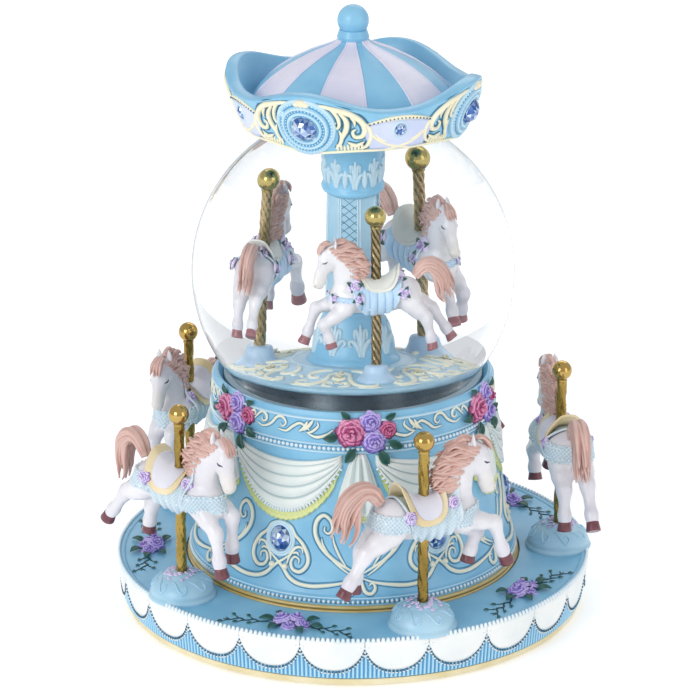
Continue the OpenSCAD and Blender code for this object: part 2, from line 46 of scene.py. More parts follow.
TAU = 2 * math.pi
scene = bpy.context.scene

# ---------------------------------------------------------------- camera, floor, light

camera = bpy.data.objects.new("camera", bpy.data.cameras.new("camera"))
camera.data.lens = 164.6
camera.data.sensor_width = 36
camera.data.clip_start = 0.01
camera.location = (-0.94 * MM, -944.2 * MM, 411.2 * MM)
camera.rotation_euler = (math.radians(70.76), 0, 0)
scene.collection.objects.link(camera)
scene.camera = camera
scene.view_settings.view_transform = "Standard"


def linear(hex_colour):
    """Colour as #rrggbb into Blender's linear light"""
    parts = [int(hex_colour[i:i + 2], 16) / 255 for i in (1, 3, 5)]
    return [c / 12.92 if c < 0.04045 else ((c + 0.055) / 1.055) ** 2.4 for c in parts] + [1]


def softbox(name, place, aim, size, power):
    lamp = bpy.data.objects.new(name, bpy.data.lights.new(name, "AREA"))
    lamp.data.shape = "RECTANGLE"
    lamp.data.size, lamp.data.size_y = size
    lamp.data.energy = power
    lamp.location = place
    way = np.array(aim) - np.array(place)
    lamp.rotation_euler = (math.acos(-way[2] / np.linalg.norm(way)), 0,
                           math.atan2(way[1], way[0]) - math.pi / 2)
    scene.collection.objects.link(lamp)


softbox("key", (-0.85, -1.05, 0.6), (0, 0, 0.08), (0.7, 0.7), 6.5)
softbox("fill", (0.9, -0.75, 0.4), (0, 0, 0.08), (0.5, 0.8), 1.6)
softbox("back", (0.2, 0.9, 0.8), (0, 0, 0.1), (0.9, 0.5), 2)

world = bpy.data.worlds.new("studio")
scene.world = world
world.use_nodes = True
world.node_tree.nodes["Background"].inputs["Color"].default_value = linear("#f4f7fb")
world.node_tree.nodes["Background"].inputs["Strength"].default_value = 0.72

# ---------------------------------------------------------------- materials

CLOUD_SCALE, GRAIN_SIZE = 90, 0.0004     # per metre, and metres
# Pointiness ranges: hollows get a darker wash with painted shade, edges get a painted highlight
WASH_AND_SHADE_IN_HOLLOWS = (0.47, 0.495, 1, 0)             # pointiness range and how strongly it is painted
HIGHLIGHT_ON_EDGES = (0.505, 0.56, 0, 0.8)
FACET_STEP = 0.06


def feed(socket, value):
    """Sets a socket to a number or colour, or links another node's output to it"""
    if isinstance(value, bpy.types.NodeSocket):
        socket.id_data.links.new(value, socket)
    else:
        socket.default_value = value


def tune(made, **inputs):
    for name, value in inputs.items():
        feed(made.inputs[name.replace("_", " ")], value)
    return made


def node(tree, kind, **inputs):
    return tune(tree.nodes.new("ShaderNode" + kind), **inputs)


def nodes_of(name):
    material = bpy.data.materials.new(name)
    material.use_nodes = True
    return material, material.node_tree, material.node_tree.nodes["Principled BSDF"]


def noise(tree, scale, detail=3):
    place = node(tree, "TexCoord").outputs["Object"]
    return node(tree, "TexNoise", Scale=scale, Detail=detail, Vector=place).outputs["Fac"]


def spread(tree, value, low, high, out_low=0.0, out_high=1.0):
    return node(tree, "MapRange", Value=value, From_Min=low, From_Max=high, To_Min=out_low,
                To_Max=out_high).outputs["Result"]


def blend(tree, factor, first, second, mode="MIX"):
    mix = node(tree, "Mix")
    mix.data_type, mix.blend_type = "RGBA", mode
    for number, value in ((0, factor), (6, first), (7, second)):
        feed(mix.inputs[number], value)
    return mix.outputs[2]


def painted(name, light, dark, rough, coat, hollow=None, edge=None, metal=0.0, grain=300,
            bump=0.06, tinted=False):
    """Hand-painted or metal surface: cloudy colour, darker wash with painted shade in hollows,
    painted highlight on edges, fine grain
    """
    material, tree, shader = nodes_of(name)
    clouds = spread(tree, noise(tree, CLOUD_SCALE), 0.35, 0.65)
    colour = blend(tree, clouds, linear(light), linear(dark))
    if tinted:
        tint = node(tree, "VertexColor")
        tint.layer_name = "tint"
        colour = blend(tree, 1.0, tint.outputs["Color"], colour, "MULTIPLY")
    # Hollows take the darker wash with painted shade, edges take the painted highlight
    for tone, reach in ((hollow, WASH_AND_SHADE_IN_HOLLOWS), (edge, HIGHLIGHT_ON_EDGES)):
        if tone:
            curve = node(tree, "NewGeometry").outputs["Pointiness"]
            colour = blend(tree, spread(tree, curve, *reach), colour, linear(tone))
    fine = noise(tree, grain * 10, 2)
    tune(shader, Base_Color=colour, Metallic=metal, Coat_Weight=coat, Coat_Roughness=0.22,
         Roughness=spread(tree, fine, 0.3, 0.7, max(rough - 0.06, 0.03), rough + 0.08))
    if bump:
        rise = node(tree, "Bump", Strength=bump, Distance=GRAIN_SIZE, Height=fine)
        tune(shader, Normal=rise.outputs["Normal"])
    return material


# Light and dark colour, roughness, coat, then the colour of hollows (darker wash and painted shade)
# and of edges (painted highlight)
PAINTS = {
    "sky": ("#8cc6e4", "#7dbbdd", 0.36, 0.2),
    "pale_sky": ("#aed2e4", "#9cc7dd", 0.36, 0.2),
    "relief_sky": ("#a3d2ea", "#8fc5e2", 0.4, 0.15, "#4f97bf", "#d3ebf5"),
    "cream": ("#ebe8cc", "#dfdcb6", 0.42, 0.1, "#9fae98", "#f7f4e0"),
    "flute": ("#93cbe8", "#82c0e0", 0.36, 0.2, "#4d9ac6", "#c9e6f4"),
    "flap": ("#f3f4f1", "#e8ecea", 0.36, 0.25),
    "dot": ("#2d6a86", "#235a74", 0.5, 0.05),
    "swirl": ("#b0d6ea", "#9fcce5", 0.36, 0.2, "#85bcd8"),
    "crown_cream": ("#ece2b8", "#e3d394", 0.42, 0.1, "#a08f58", "#f8f2d8"),
    "tab": ("#f1dcb4", "#e9cf9e", 0.4, 0.15, None, "#f8ebd0"),
    "cloth": ("#c7e0f3", "#b4d3ec", 0.38, 0.2, "#86aed6", "#eaf5fc"),
    "nostril": ("#c9a49c", "#b98f88", 0.5, 0.1),
    "cream_band": ("#ece0bd", "#e0d09f", 0.42, 0.12),
    "bead": ("#eef6fa", "#dcedf6", 0.3, 0.2),
    "swag": ("#edf1ec", "#dfe8e4", 0.4, 0.15, "#b4c6c8"),
    "fringe": ("#e6eba6", "#d3dd86", 0.45, 0.1, "#9fac62"),
    "pink_rose": ("#de76a6", "#d26699", 0.4, 0.15, "#ab4379", "#ec9fc2"),
    "magenta_rose": ("#d0598f", "#c04a80", 0.4, 0.15, "#94305f", "#e185ae"),
    "lilac_rose": ("#b9a4e9", "#a992e0", 0.4, 0.15, "#866fcb", "#cfc0f3"),
    "pale_lilac_rose": ("#dcc6f1", "#cfb6ea", 0.4, 0.15, "#ab90d6", "#f0e6fb"),
    "leaf": ("#125246", "#0c3f38", 0.4, 0.15, None, "#22675a"),
    "twig": ("#1d4548", "#15363b", 0.45, 0.1),
    "mount": ("#bfd9ef", "#aecde8", 0.36, 0.2),
    "leafage": ("#b4d5e5", "#a3cade", 0.4, 0.15, "#79aecb", "#cbe3ee"),
    "mane": ("#bb897c", "#aa766a", 0.42, 0.15, "#633d37", "#e0bfb4"),
    "hoof": ("#5b2932", "#481e27", 0.33, 0.3, None, "#7d434c"),
    "rose_hoof": ("#87484f", "#713a42", 0.33, 0.3, None, "#a86c72"),
    "eye": ("#2f3350", "#1f2238", 0.25, 0.4),
    "lace": ("#c9dae2", "#bbcfdb", 0.38, 0.2, "#a4bfce", "#e4edf2"),
    "saddle": ("#e9e7ee", "#dddce8", 0.36, 0.25),
    "saddle_trim": ("#efe0bd", "#e5d0a0", 0.38, 0.2, "#b9a172"),
    "saddle_white": ("#ecebe2", "#e2e1d8", 0.38, 0.2, "#c2c6c4"),
    "roof_white": ("#e6e3f1", "#dcd9ec", 0.38, 0.2),
    "lilac_panel": ("#d5dcf2", "#c8d2ee", 0.4, 0.15),
}
# Light and dark colour, roughness, bump, then the colour of hollows (darker wash and painted shade)
# and the grain
METALS = {
    "old_ball": ("#c9b878", "#b09c58", 0.18, 0),
    "gold": ("#b0954f", "#877038", 0.22, 0.25, "#3f3318", 90),
    "gold_ball": ("#c9aa66", "#b79550", 0.07, 0),
    "old_gold": ("#b9a57c", "#95835c", 0.3, 0.2, "#4f452f", 90),
    "steel": ("#b3b8bd", "#9ba1a7", 0.25, 0.1),
    "brass": ("#b8923f", "#a27c30", 0.28, 0.1),
    "spring": ("#5d6672", "#4c5560", 0.3, 0.1),
    "magnet": ("#50525a", "#43454c", 0.35, 0.1),
}
MATS = {name: painted(name + "_paint", *row) for name, row in PAINTS.items()}
for name, (light, dark, rough, bump, *more) in METALS.items():
    MATS[name] = painted(name + "_metal", light, dark, rough, 0, more[0] if more else None,
                         metal=1, bump=bump, grain=more[1] if more else 300)
# The fifth colour of these is the darker wash with painted shade in hollows
MATS["horse"] = painted("horse_paint", "#e9e7e9", "#dedbe1", 0.3, 0.3, "#bdb3c4", tinted=True)
MATS["foot_gold"] = painted("foot_gold_paint", "#d9c48a", "#c8ae6a", 0.34, 0.2, "#8c7336",
                            metal=0.25)
MATS["rotor"] = painted("rotor_metal", "#53606a", "#3d474f", 0.3, 0.3, metal=0.4, bump=0.05)
MATS["shade"] = painted("shade_wash", "#4a86a4", "#3f7890", 0.5, 0.05)
MATS["soft_shade"] = painted("soft_shade_wash", "#62a3c6", "#5594b6", 0.45, 0.1)
MATS["nylon"] = painted("nylon_plastic", "#e9e6dc", "#dedacd", 0.45, 0.05)
MATS["rubber"] = painted("rubber_seal", "#9fb4bf", "#8fa5b1", 0.6, 0.05)
MATS["felt"] = painted("felt_cloth", "#5a5550", "#4b4743", 0.9, 0, bump=0.6, grain=700)


def mixed(tree, factor, first, second):
    mix = node(tree, "MixShader")
    for number, value in enumerate((factor, first.outputs[0], second.outputs[0])):
        feed(mix.inputs[number], value)
    return mix


def clear(name, colour, bend):
    """Liquid or glass that bends what is seen through it and lets lamps reach what is inside, with
    a painted dark rim where its surface turns away
    """
    material, tree, shader = nodes_of(name)
    tone = blend(tree, spread(tree, noise(tree, 30), 0.3, 0.7), linear(colour), linear("#ffffff"))
    # Painted shade at the silhouette: the colour greys where the surface turns away, and a grey
    # diffuse rim is mixed in there
    slant = node(tree, "LayerWeight", Blend=0.5).outputs["Facing"]
    tune(shader, Base_Color=blend(tree, spread(tree, slant, 0.8, 1.0), tone, linear("#a9b4ba")),
         Roughness=0, IOR=bend, Transmission_Weight=1)
    rim = node(tree, "BsdfDiffuse", Color=linear("#98a2a7"))
    through = node(tree, "BsdfTransparent", Color=(0.97, 0.985, 0.99, 1))
    thick = mixed(tree, spread(tree, slant, 0.84, 1.0, 0, 0.8), shader, rim)
    shadow = node(tree, "LightPath").outputs["Is Shadow Ray"]
    feed(tree.nodes["Material Output"].inputs["Surface"],
         mixed(tree, shadow, thick, through).outputs[0])
    return material


def stone(name, light, dark):
    """Cut glass stone: each facet is painted with its own share of highlight and deep blue, as
    painted glints
    """
    material, tree, shader = nodes_of(name)
    # Painted glints: each facet, by its own normal, gets a random mix of the light and the deep
    # blue colour
    step = node(tree, "VectorMath")
    step.operation = "SNAP"
    feed(step.inputs[0], node(tree, "NewGeometry").outputs["True Normal"])
    feed(step.inputs[1], (FACET_STEP,) * 3)
    chance = node(tree, "TexWhiteNoise", Vector=step.outputs[0])
    facets = spread(tree, chance.outputs["Value"], 0.35, 1.0)
    tune(shader, Base_Color=blend(tree, facets, linear(dark), linear(light)), Metallic=0.55,
         Roughness=0.06, Coat_Weight=1, Coat_Roughness=0.02)
    return material


MATS["liquid"] = clear("clear_liquid", "#fbfeff", 1.335)
MATS["stone"] = stone("blue_stone", "#d9ebfd", "#1d58a4")

floor_paint = painted("floor_paint", "#fbfbfc", "#f7f8fa", 0.75, 0, bump=0, grain=30)
tune(floor_paint.node_tree.nodes["Principled BSDF"], Emission_Color=(1, 1, 1, 1),
     Emission_Strength=0.32)
FLOOR = 4     # half its width, in metres
floor_mesh = bpy.data.meshes.new("floor")
floor_mesh.from_pydata([(-FLOOR, -FLOOR, 0), (FLOOR, -FLOOR, 0), (FLOOR, FLOOR, 0),
                        (-FLOOR, FLOOR, 0)], [], [(0, 1, 2, 3)])
floor_mesh.materials.append(floor_paint)
floor = bpy.data.objects.new("floor", floor_mesh)
scene.collection.objects.link(floor)

# ---------------------------------------------------------------- building surfaces, in mm


def row(low, high, count):
    return np.linspace(low, high, count)[None, :]


def column(low, high, count):
    return np.linspace(low, high, count)[:, None]


def cos_sin(turn):
    return math.cos(turn), math.sin(turn)


class Cast:
    """Collects surfaces in mm and makes one object of them"""

    def __init__(self):
        self.points, self.faces, self.tints, self.count = [], [], [], 0

    def add(self, points, faces, tint=(1, 1, 1), at=(0, 0, 0)):
        points = np.asarray(points, float).reshape(-1, 3) + at
        faces = [faces] if isinstance(faces, np.ndarray) else faces
        self.faces += [np.asarray(f) + self.count for f in faces]
        self.tints.append(np.broadcast_to(np.asarray(tint, float), (len(points), 3)))
        self.points.append(points)
        self.count += len(points)
        return self

    def mesh(self, name, scale=1.0):
        mesh = bpy.data.meshes.new(name)
        mesh.from_pydata((np.concatenate(self.points) * scale).tolist(), [],
                         [f for block in self.faces for f in block.tolist()])
        return mesh

    def make(self, name, body, slot, look, *hides, flat=False):
        mesh = self.mesh(name, MM)
        mesh.polygons.foreach_set("use_smooth", [not flat] * len(mesh.polygons))
        tints = np.concatenate(self.tints)
        if np.ptp(tints) > 0:
            layer = mesh.color_attributes.new("tint", "FLOAT_COLOR", "POINT")
            rgba = np.concatenate([tints, np.ones((len(tints), 1))], 1)
            layer.data.foreach_set("color", rgba.ravel())
        mesh.materials.append(MATS[look])
        shell = bmesh.new()
        shell.from_mesh(mesh)
        bmesh.ops.recalc_face_normals(shell, faces=shell.faces)
        shell.to_mesh(mesh)
        shell.free()
        piece = bpy.data.objects.new(name, mesh)
        scene.collection.objects.link(piece)
        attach(piece, body)
        if hides:
            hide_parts(*hides)
        return piece


def quads(rows, columns, wrap=False):
    """Faces of a grid of points; wrap joins the last column to the first"""
    r, c = np.meshgrid(np.arange(rows - 1), np.arange(columns if wrap else columns - 1),
                       indexing="ij")
    up, on = r + 1, (c + 1) % columns
    return np.stack([r * columns + c, r * columns + on, up * columns + on, up * columns + c],
                    -1).reshape(-1, 4)


def fan(ring, tip, flip=False):
    """Triangles from a ring of point numbers to a tip"""
    on = np.roll(ring, -1)
    pair = (on, ring) if flip else (ring, on)
    return np.stack([*pair, np.full(len(ring), tip)], 1)


def unit(vectors):
    return vectors / np.maximum(np.linalg.norm(vectors, axis=-1, keepdims=True), 1e-9)


def along(points, step=None, count=None):
    """Smooth curve through points, at even steps"""
    points = np.asarray(points, float)
    ends = np.vstack([2 * points[0] - points[1], points, 2 * points[-1] - points[-2]])
    t = np.linspace(0, 1, 12, endpoint=False)[:, None]
    pieces = [0.5 * (2 * b + (c - a) * t + (2 * a - 5 * b + 4 * c - d) * t ** 2
                     + (3 * b - a - 3 * c + d) * t ** 3)
              for a, b, c, d in zip(ends, ends[1:], ends[2:], ends[3:])]
    curve = np.vstack(pieces + [points[-1:]])
    run = np.concatenate([[0], np.cumsum(np.linalg.norm(np.diff(curve, axis=0), axis=1))])
    count = count or max(4, int(run[-1] / step) + 1)
    return np.stack([np.interp(np.linspace(0, run[-1], count), run, curve[:, i])
                     for i in range(curve.shape[1])], 1)


def tube(path, width, height=None, sides=8, up=None, ends=True):
    """Swept rod: width along the surface and height along up, each one number or per point"""
    path = np.asarray(path, float)
    n = len(path)
    width = np.broadcast_to(np.asarray(width, float), n)
    height = width if height is None else np.broadcast_to(np.asarray(height, float), n)
    way = unit(np.gradient(path, axis=0))
    if up is None:
        normal = np.empty_like(path)
        last = unit(np.cross(np.cross(way[0], [0.13, 0.21, 1.0]), way[0]))
        for i in range(n):
            last = unit(last - way[i] * np.dot(last, way[i]))
            normal[i] = last
    else:
        normal = unit(np.broadcast_to(up, path.shape))
        normal = unit(normal - way * np.sum(normal * way, 1, keepdims=True))
    side = np.cross(way, normal)
    a = np.arange(sides) * TAU / sides
    ring = (path[:, None] + side[:, None] * (np.cos(a)[None, :, None] * width[:, None, None])
            + normal[:, None] * (np.sin(a)[None, :, None] * height[:, None, None]))
    points = ring.reshape(-1, 3)
    faces = [quads(n, sides, wrap=True)]
    if ends:
        points = np.vstack([points, path[:1], path[-1:]])
        k = np.arange(sides)
        faces += [fan(k, n * sides, flip=True), fan((n - 1) * sides + k, n * sides + 1)]
    return points, faces


def taper(n, middle, start=0.3, end=0.3, power=0.7, reach=0.35):
    """Thickness along a stroke: thin at its ends, full in the middle"""
    t = np.linspace(0, 1, n)
    return middle * (np.minimum(1, start + (t / reach) ** power * (1 - start))
                     * np.minimum(1, end + ((1 - t) / reach) ** power * (1 - end)))


def slab(front, back):
    """Closed sheet between two grids of the same size"""
    rows, columns = front.shape[:2]
    number = np.arange(rows * columns).reshape(rows, columns)
    face = quads(rows, columns)
    edge = np.concatenate([number[0], number[1:, -1], number[-1, -2::-1], number[-2:0:-1, 0]])
    on, m = np.roll(edge, -1), number.size
    rim = np.stack([on, edge, edge + m, on + m], 1)
    return np.vstack([front.reshape(-1, 3), back.reshape(-1, 3)]), [face, face[:, ::-1] + m, rim]


def lathe(profile, sides=192):
    """Turned shape from (radius, height) points; a radius of 0 closes it"""
    profile = np.asarray(profile, float)
    a = np.arange(sides) * TAU / sides
    points = np.stack([profile[:, :1] * np.sin(a), -profile[:, :1] * np.cos(a),
                       np.repeat(profile[:, 1:], sides, 1)], -1)
    return points.reshape(-1, 3), [quads(len(profile), sides, wrap=True)]


def frames(places, normals, turn=0.0):
    """Axes for small parts that stand on a surface: side, up, normal"""
    normals = unit(np.asarray(normals, float))
    side = unit(np.cross(np.broadcast_to((0, 0, 1), normals.shape), normals))
    rise = np.cross(normals, side)
    c, s = np.reshape(np.cos(turn), (-1, 1)), np.reshape(np.sin(turn), (-1, 1))
    return np.asarray(places, float), side * c + rise * s, rise * c - side * s, normals


def scatter(cast, part, spots, size=1.0):
    """Copies of one small part at many frames; size is one number or three, for all or each"""
    points, faces = part
    places, side, rise, normal = spots
    size = np.asarray(size, float)
    size = np.broadcast_to(size.reshape(-1, 1) if size.ndim < 2 else size, (len(places), 3))
    p = points[None] * size[:, None]
    for copy in (places[:, None] + p[..., :1] * side[:, None] + p[..., 1:2] * rise[:, None]
                 + p[..., 2:] * normal[:, None]):
        cast.add(copy, faces)


def dome(sides=8, rings=3, depth=1.0):
    """Half ball of radius 1 standing on z = 0, with a tapered root below it"""
    root = -0.35 * depth
    rows = [(0.72, root)] + [(math.cos(a), math.sin(a) * depth)
                             for a in np.linspace(0, math.pi / 2, rings + 1)[:-1]]
    a = np.arange(sides) * TAU / sides
    points = np.array([[r * math.cos(t), r * math.sin(t), z] for r, z in rows for t in a]
                      + [[0, 0, depth], [0, 0, root]])
    k, tip = np.arange(sides), len(points) - 2
    return points, [quads(len(rows), sides, wrap=True), fan((len(rows) - 1) * sides + k, tip),
                    fan(k, tip + 1, flip=True)]


# Rings of petals: how many, radius low and high, height, half width in degrees
PETALS = ((2, 0.05, 0.2, 0.66, 95), (3, 0.16, 0.36, 0.62, 66), (5, 0.3, 0.62, 0.52, 47),
          (6, 0.44, 0.88, 0.36, 40), (6, 0.52, 1.04, 0.16, 40))


def rose(seed, layers=5, fine=6):
    """Cast rose of radius 1 facing +Z: a rolled bud and rings of curled petals"""
    pick = np.random.RandomState(seed)
    cast = Cast()
    s, t = row(-1, 1, fine + 1), column(0, 1, fine)
    round_off = np.sqrt(np.clip(1 - (0.72 * t ** 2) * s ** 2, 0, 1))
    for number, (count, low, high, tall, half) in enumerate(PETALS[:layers]):
        for i in range(count):
            middle = (i + 0.5 * (number % 2) + pick.uniform(-0.12, 0.12)) * TAU / count
            a = middle + s * math.radians(half) * (1 - 0.22 * t ** 3)
            a = a + 0.25 * t * (0.6 if number < 2 else 0.15)
            reach = low + (high - low) * t ** 1.3 * round_off - 0.05 * (1 + s) * (1 - t)
            reach = reach + 0.05 * t ** 4 * np.cos(s * 5 + i)
            rise = tall * t ** 0.75 * round_off - (0.2 * t ** 5 if number > 1 else 0)
            front = np.stack([reach * np.cos(a), reach * np.sin(a), rise + 0 * a], -1)
            inward = np.stack([np.cos(a), np.sin(a), 0 * a - 0.4], -1) * 0.09
            cast.add(*slab(front, front - inward))
    points, faces = dome(10, 3, 0.32)
    cast.add(points * [0.9, 0.9, 1], faces)
    return np.vstack(cast.points), cast.faces


def leaf():
    """Leaf of length 1 along +X, facing +Z, bent and creased along its middle"""
    t, s = column(0, 1, 9), row(-1, 1, 7)
    half = 0.27 * np.sin(np.pi * t ** 0.8) ** 0.8 + 0.012
    y = s * half * (1 + 0.06 * np.cos(t * 30))
    z = 0.15 * np.sin(t * 2.6) + 0.32 * np.abs(s) * half
    front = np.stack([t + 0 * s, y, z + 0.07], -1)
    return slab(front, front - [0, 0, 0.1])


ROSES = [rose(i) for i in (3, 8, 21)]
SMALL_ROSES = [rose(i, 3, 4) for i in (5, 11)]
LEAF = leaf()
BEAD = dome(8, 3)
SEED = dome(6, 2)


def paths(text):
    """Strokes written as 'width: x y, x y, ...; width: ...' to (points, width) pairs"""
    parts = [part.split(":") for part in text.split(";")]
    return [([tuple(map(float, p.split())) for p in points.split(",")], float(width))
            for width, points in parts]


BLUNT = (0.5, 0.5)     # ends of the painted shade strokes under the raised strokes


class Ground:
    """Surface that ornament is laid on, by two numbers and a lift; at() gives the point"""

    def lay(self, cast, a, b, width, height, lift, sides, ends):
        width = taper(len(a), width, *ends)
        height = width * 0.8 if height is None else np.minimum(width, height)
        cast.add(*tube(self.at(a, b, lift), width, height, sides, self.normal(a, b)))


class Surface(Ground):
    """Turned surface, by bearing in degrees and height"""

    def __init__(self, radius, slope):
        self.radius, self.slope = radius, slope

    def at(self, bearing, z, lift=0.0):
        a = np.radians(np.asarray(bearing, float))
        z = np.asarray(z, float)
        k = self.slope(bearing, z)
        out, rise = 1 / np.sqrt(1 + k * k), -k / np.sqrt(1 + k * k)
        r = self.radius(bearing, z) + lift * out
        return np.stack(np.broadcast_arrays(r * np.sin(a), -r * np.cos(a), z + lift * rise), -1)

    def normal(self, bearing, z):
        return unit(self.at(bearing, z, 1.0) - self.at(bearing, z, 0.0))

    def stroke(self, cast, path, width, height=None, lift=0.0, step=0.45, sides=8, ends=(0.3, 0.3)):
        """Raised line along a path of (bearing, z) control points"""
        reach = float(np.mean(self.radius(np.mean([p[0] for p in path]),
                                          np.mean([p[1] for p in path]))))
        curve = along([(math.radians(b) * reach, z) for b, z in path], step)
        self.lay(cast, np.degrees(curve[:, 0] / reach), curve[:, 1], width, height, lift, sides,
                 ends)

    def beads(self, cast, bearings, heights, size, lift=0.0, part=None, turn=0.0):
        bearings = np.asarray(bearings, float)
        heights = np.broadcast_to(np.asarray(heights, float), bearings.shape)
        spots = frames(self.at(bearings, heights, lift), self.normal(bearings, heights), turn)
        scatter(cast, part or BEAD, spots, size)


class Flat(Ground):
    """Level surface, by mm from a centre; height is a number or a function of the radius"""

    def __init__(self, height, x=0.0, y=0.0, turn=0.0):
        self.height, self.x, self.y = height, x, y
        self.c, self.s = cos_sin(turn)

    def at(self, x, y, lift=0.0):
        x, y = np.asarray(x, float), np.asarray(y, float)
        z = self.height(np.hypot(x, y)) if callable(self.height) else self.height
        return np.stack(np.broadcast_arrays(self.x + self.c * x - self.s * y,
                                            self.y + self.s * x + self.c * y, z + lift), -1)

    def normal(self, x, y):
        return 0, 0, 1

    def stroke(self, cast, path, width, height=None, lift=0.0, step=0.5, sides=8, ends=(0.3, 0.3)):
        curve = along(path, step)
        self.lay(cast, curve[:, 0], curve[:, 1], width, height, lift, sides, ends)


def turned(profile):
    """Surface of a turned profile of (radius, height) points"""
    rs, zs = np.array(profile, float).T
    k = np.gradient(rs, zs)
    return Surface(lambda b, z: np.interp(z, zs, rs), lambda b, z: np.interp(z, zs, k))


def compass(bearing, r):
    a = math.radians(bearing)
    return r * math.sin(a), -r * math.cos(a)


def bearings(count):
    """So many evenly spaced bearings"""
    return np.arange(count) * 360 / count


def rotated(path, turn, flip=1):
    """Points on the level turned about the middle, mirrored first where flip is -1"""
    c, s = cos_sin(turn)
    return [(c * p - s * q * flip, s * p + c * q * flip) for p, q in path]


# ---------------------------------------------------------------- foot and drum

DRUM_SIDE = [(51.5, 17.2), (51.2, 20.5), (49.6, 25), (48.2, 30), (46.6, 40), (45.4, 50),
             (44.6, 60), (44, 70), (43.5, 75.5)]
drum = turned(DRUM_SIDE)
SWAG, PITCH = -27.7, 60     # bearing of the middle of the first swag, and from swag to swag


def shifted(path, by, axis=None):
    """Path moved round by so many degrees, mirrored about a bearing first if one is given"""
    return [((b if axis is None else 2 * axis - b) + by, z) for b, z in path]


scrolls, drum_painted_shade, vine = Cast(), Cast(), Cast()
# Beside each stone, by bearing from it and height: a loop, the long stem and its leaves, the
# lyre with its inner line and leaf, and the curl at the foot
STROKES = paths("""
    0.62: 1.4 41, 4.2 39.6, 6 37.2, 8.8 35, 11 31.6, 11 28.6, 8.6 26.4, 5.8 26.8, 4.8 28.8, 6
      30.6, 7.8 30, 7.6 28.6;
    0.66: -4.4 31.2, -2.2 29.6, 0.4 28, 2.4 26.4, 4.6 24.4, 8 23, 13 22.6, 19 23.2, 25 24.2, 29
      25.4;
    0.5: 3.2 27.8, 4 30.6, 6.2 33.4, 8.6 33.6, 9.2 31.8;
    0.4: 5 31.4, 6.8 32, 7.8 31;
    0.66: 30.6 26.6, 34 28.2, 39.6 31, 44 34.6, 46.4 38.6, 46 42.4, 43.4 44.4, 40.8 43, 40 40.4,
      41.4 38.8, 43 39.6, 42.8 41;
    0.42: 32.4 26, 36.4 28.4, 40.6 31.6, 43.4 35.4, 44 37.6;
    0.42: 34.6 28.6, 37.2 32, 39.2 35.8, 39.8 38.4;
    0.6: 30.5 26.4, 30.9 23.8, 32 21.4, 34.2 21, 35.4 22.6, 34.4 24, 33.2 23.2""")
for k in range(6):
    for path, width in STROKES:
        for axis in (None, 0):
            here = shifted(path, SWAG + PITCH * k, axis)
            drum.stroke(scrolls, here, width, width * 1.15, 0.1)
            # Wider flat dark stroke under each scroll: painted shade beside it
            drum.stroke(drum_painted_shade, here, width * 1.75, 0.28, 0.0, 0.7, 6, BLUNT)
    for side in (1, -1):
        drum.beads(scrolls, [SWAG + PITCH * k + side * 2.6], [27.2], 1.05, 0.15)
# Upper band between the rose clusters: lilies, curls and a swoop
BAND_STROKES = paths("""
    0.42: -19 70.6, -17 72.8, -15.4 73.6, -14.6 72.6, -15.6 72;
    0.45: -15.4 70.8, -13.4 72.6, -11.2 74, -9 73.2, -9 71.6, -10.8 71.2, -11.2 72.4;
    0.45: -13.6 70.4, -10.4 69.6, -6.6 71, -3.8 73.4, -1.2 73.6, 0.2 72, -1.2 70.8, -2.4 71.8;
    0.45: -3.4 69.8, 0.4 69.6, 3.4 71.4, 6.2 72.6, 8.6 71.8, 10.4 70.6;
    0.55: 6 70, 8 71.2, 9.4 73.4;
    0.55: 8 70.4, 10 72, 11.8 74;
    0.42: 9 69.8, 11.4 70.4, 13.8 72.2, 13.4 73.6;
    0.48: 9.4 69.8, 13 68.8, 17 69.6, 20 71.4""")
for k in range(6):
    for path, width in BAND_STROKES:
        here = shifted(path, SWAG + PITCH * k, 1 if k % 2 else None)
        drum.stroke(vine, here, width, width * 1.1, 0.1, 0.35)
        # Wider flat dark stroke under each band stroke: painted shade beside it
        drum.stroke(drum_painted_shade, here, width * 1.7, 0.24, 0.0, 0.6, 6, BLUNT)
scrolls.make("drum_scrolls", "base", "cream_resin", "cream")
vine.make("drum_vine", "base", "cream_resin", "cream")
# Dark rings behind both bead rows: painted shade in the gaps between the beads
for z, r in ((65.5, 44.38), (18.4, 51.46)):
    drum_painted_shade.add(*lathe([(r - 0.6, z - 0.7), (r, z - 0.6), (r + 0.05, z), (r, z + 0.6),
                       (r - 0.6, z + 0.7)], 256))
drum_painted_shade.make("drum_scroll_shading", "base", "blue_resin", "soft_shade")



def moulding(r, z, w, h):
    """Profile of a ring that stands w proud of radius r, h to each side of z"""
    return [(r - 0.8, z - h), (r, z - h * 0.8), (r + w, z - h * 0.3), (r + w, z + h * 0.3),
            (r, z + h * 0.8), (r - 0.8, z + h)]


mouldings = Cast()
for r, z, w, h in ((43.9, 74.4, 0.35, 0.45), (44.35, 66.7, 0.25, 0.3), (44.5, 64.3, 0.3, 0.35),
                   (51.2, 19.5, 0.25, 0.3)):
    mouldings.add(*lathe(moulding(r, z, w, h), 256))
mouldings.make("drum_mouldings", "base", "blue_resin", "relief_sky")

beads = Cast()
drum.beads(beads, bearings(190), 65.5, 0.62, 0.1)
drum.beads(beads, bearings(216), 18.4, [[0.5, 0.62, 0.7]], 0.1)
beads.make("drum_beads", "base", "cream_resin", "bead")

foot = Cast().add(*lathe([
    (50.6, 14.95), (52.5, 14.95), (52.75, 15.2), (52.75, 15.7), (52.4, 15.95), (51.9, 16.05),
    (51.9, 16.2), (52.3, 16.35), (52.5, 16.6), (52.4, 17), (52, 17.25), (50.6, 17.25),
    (50.6, 14.95)], 256))
foot.make("drum_foot_moulding", "base", "gold_metal", "foot_gold", "drum_foot_ring")

# Swags: cloth cast in relief, hung between the rose clusters
swags, combs, fringes = Cast(), Cast(), Cast()
HALF = 23.6     # degrees from a swag's middle to its ends


def hem(u):
    """Height of a swag's lower edge"""
    return 44.9 + 15.6 * np.abs(u) ** 2.2


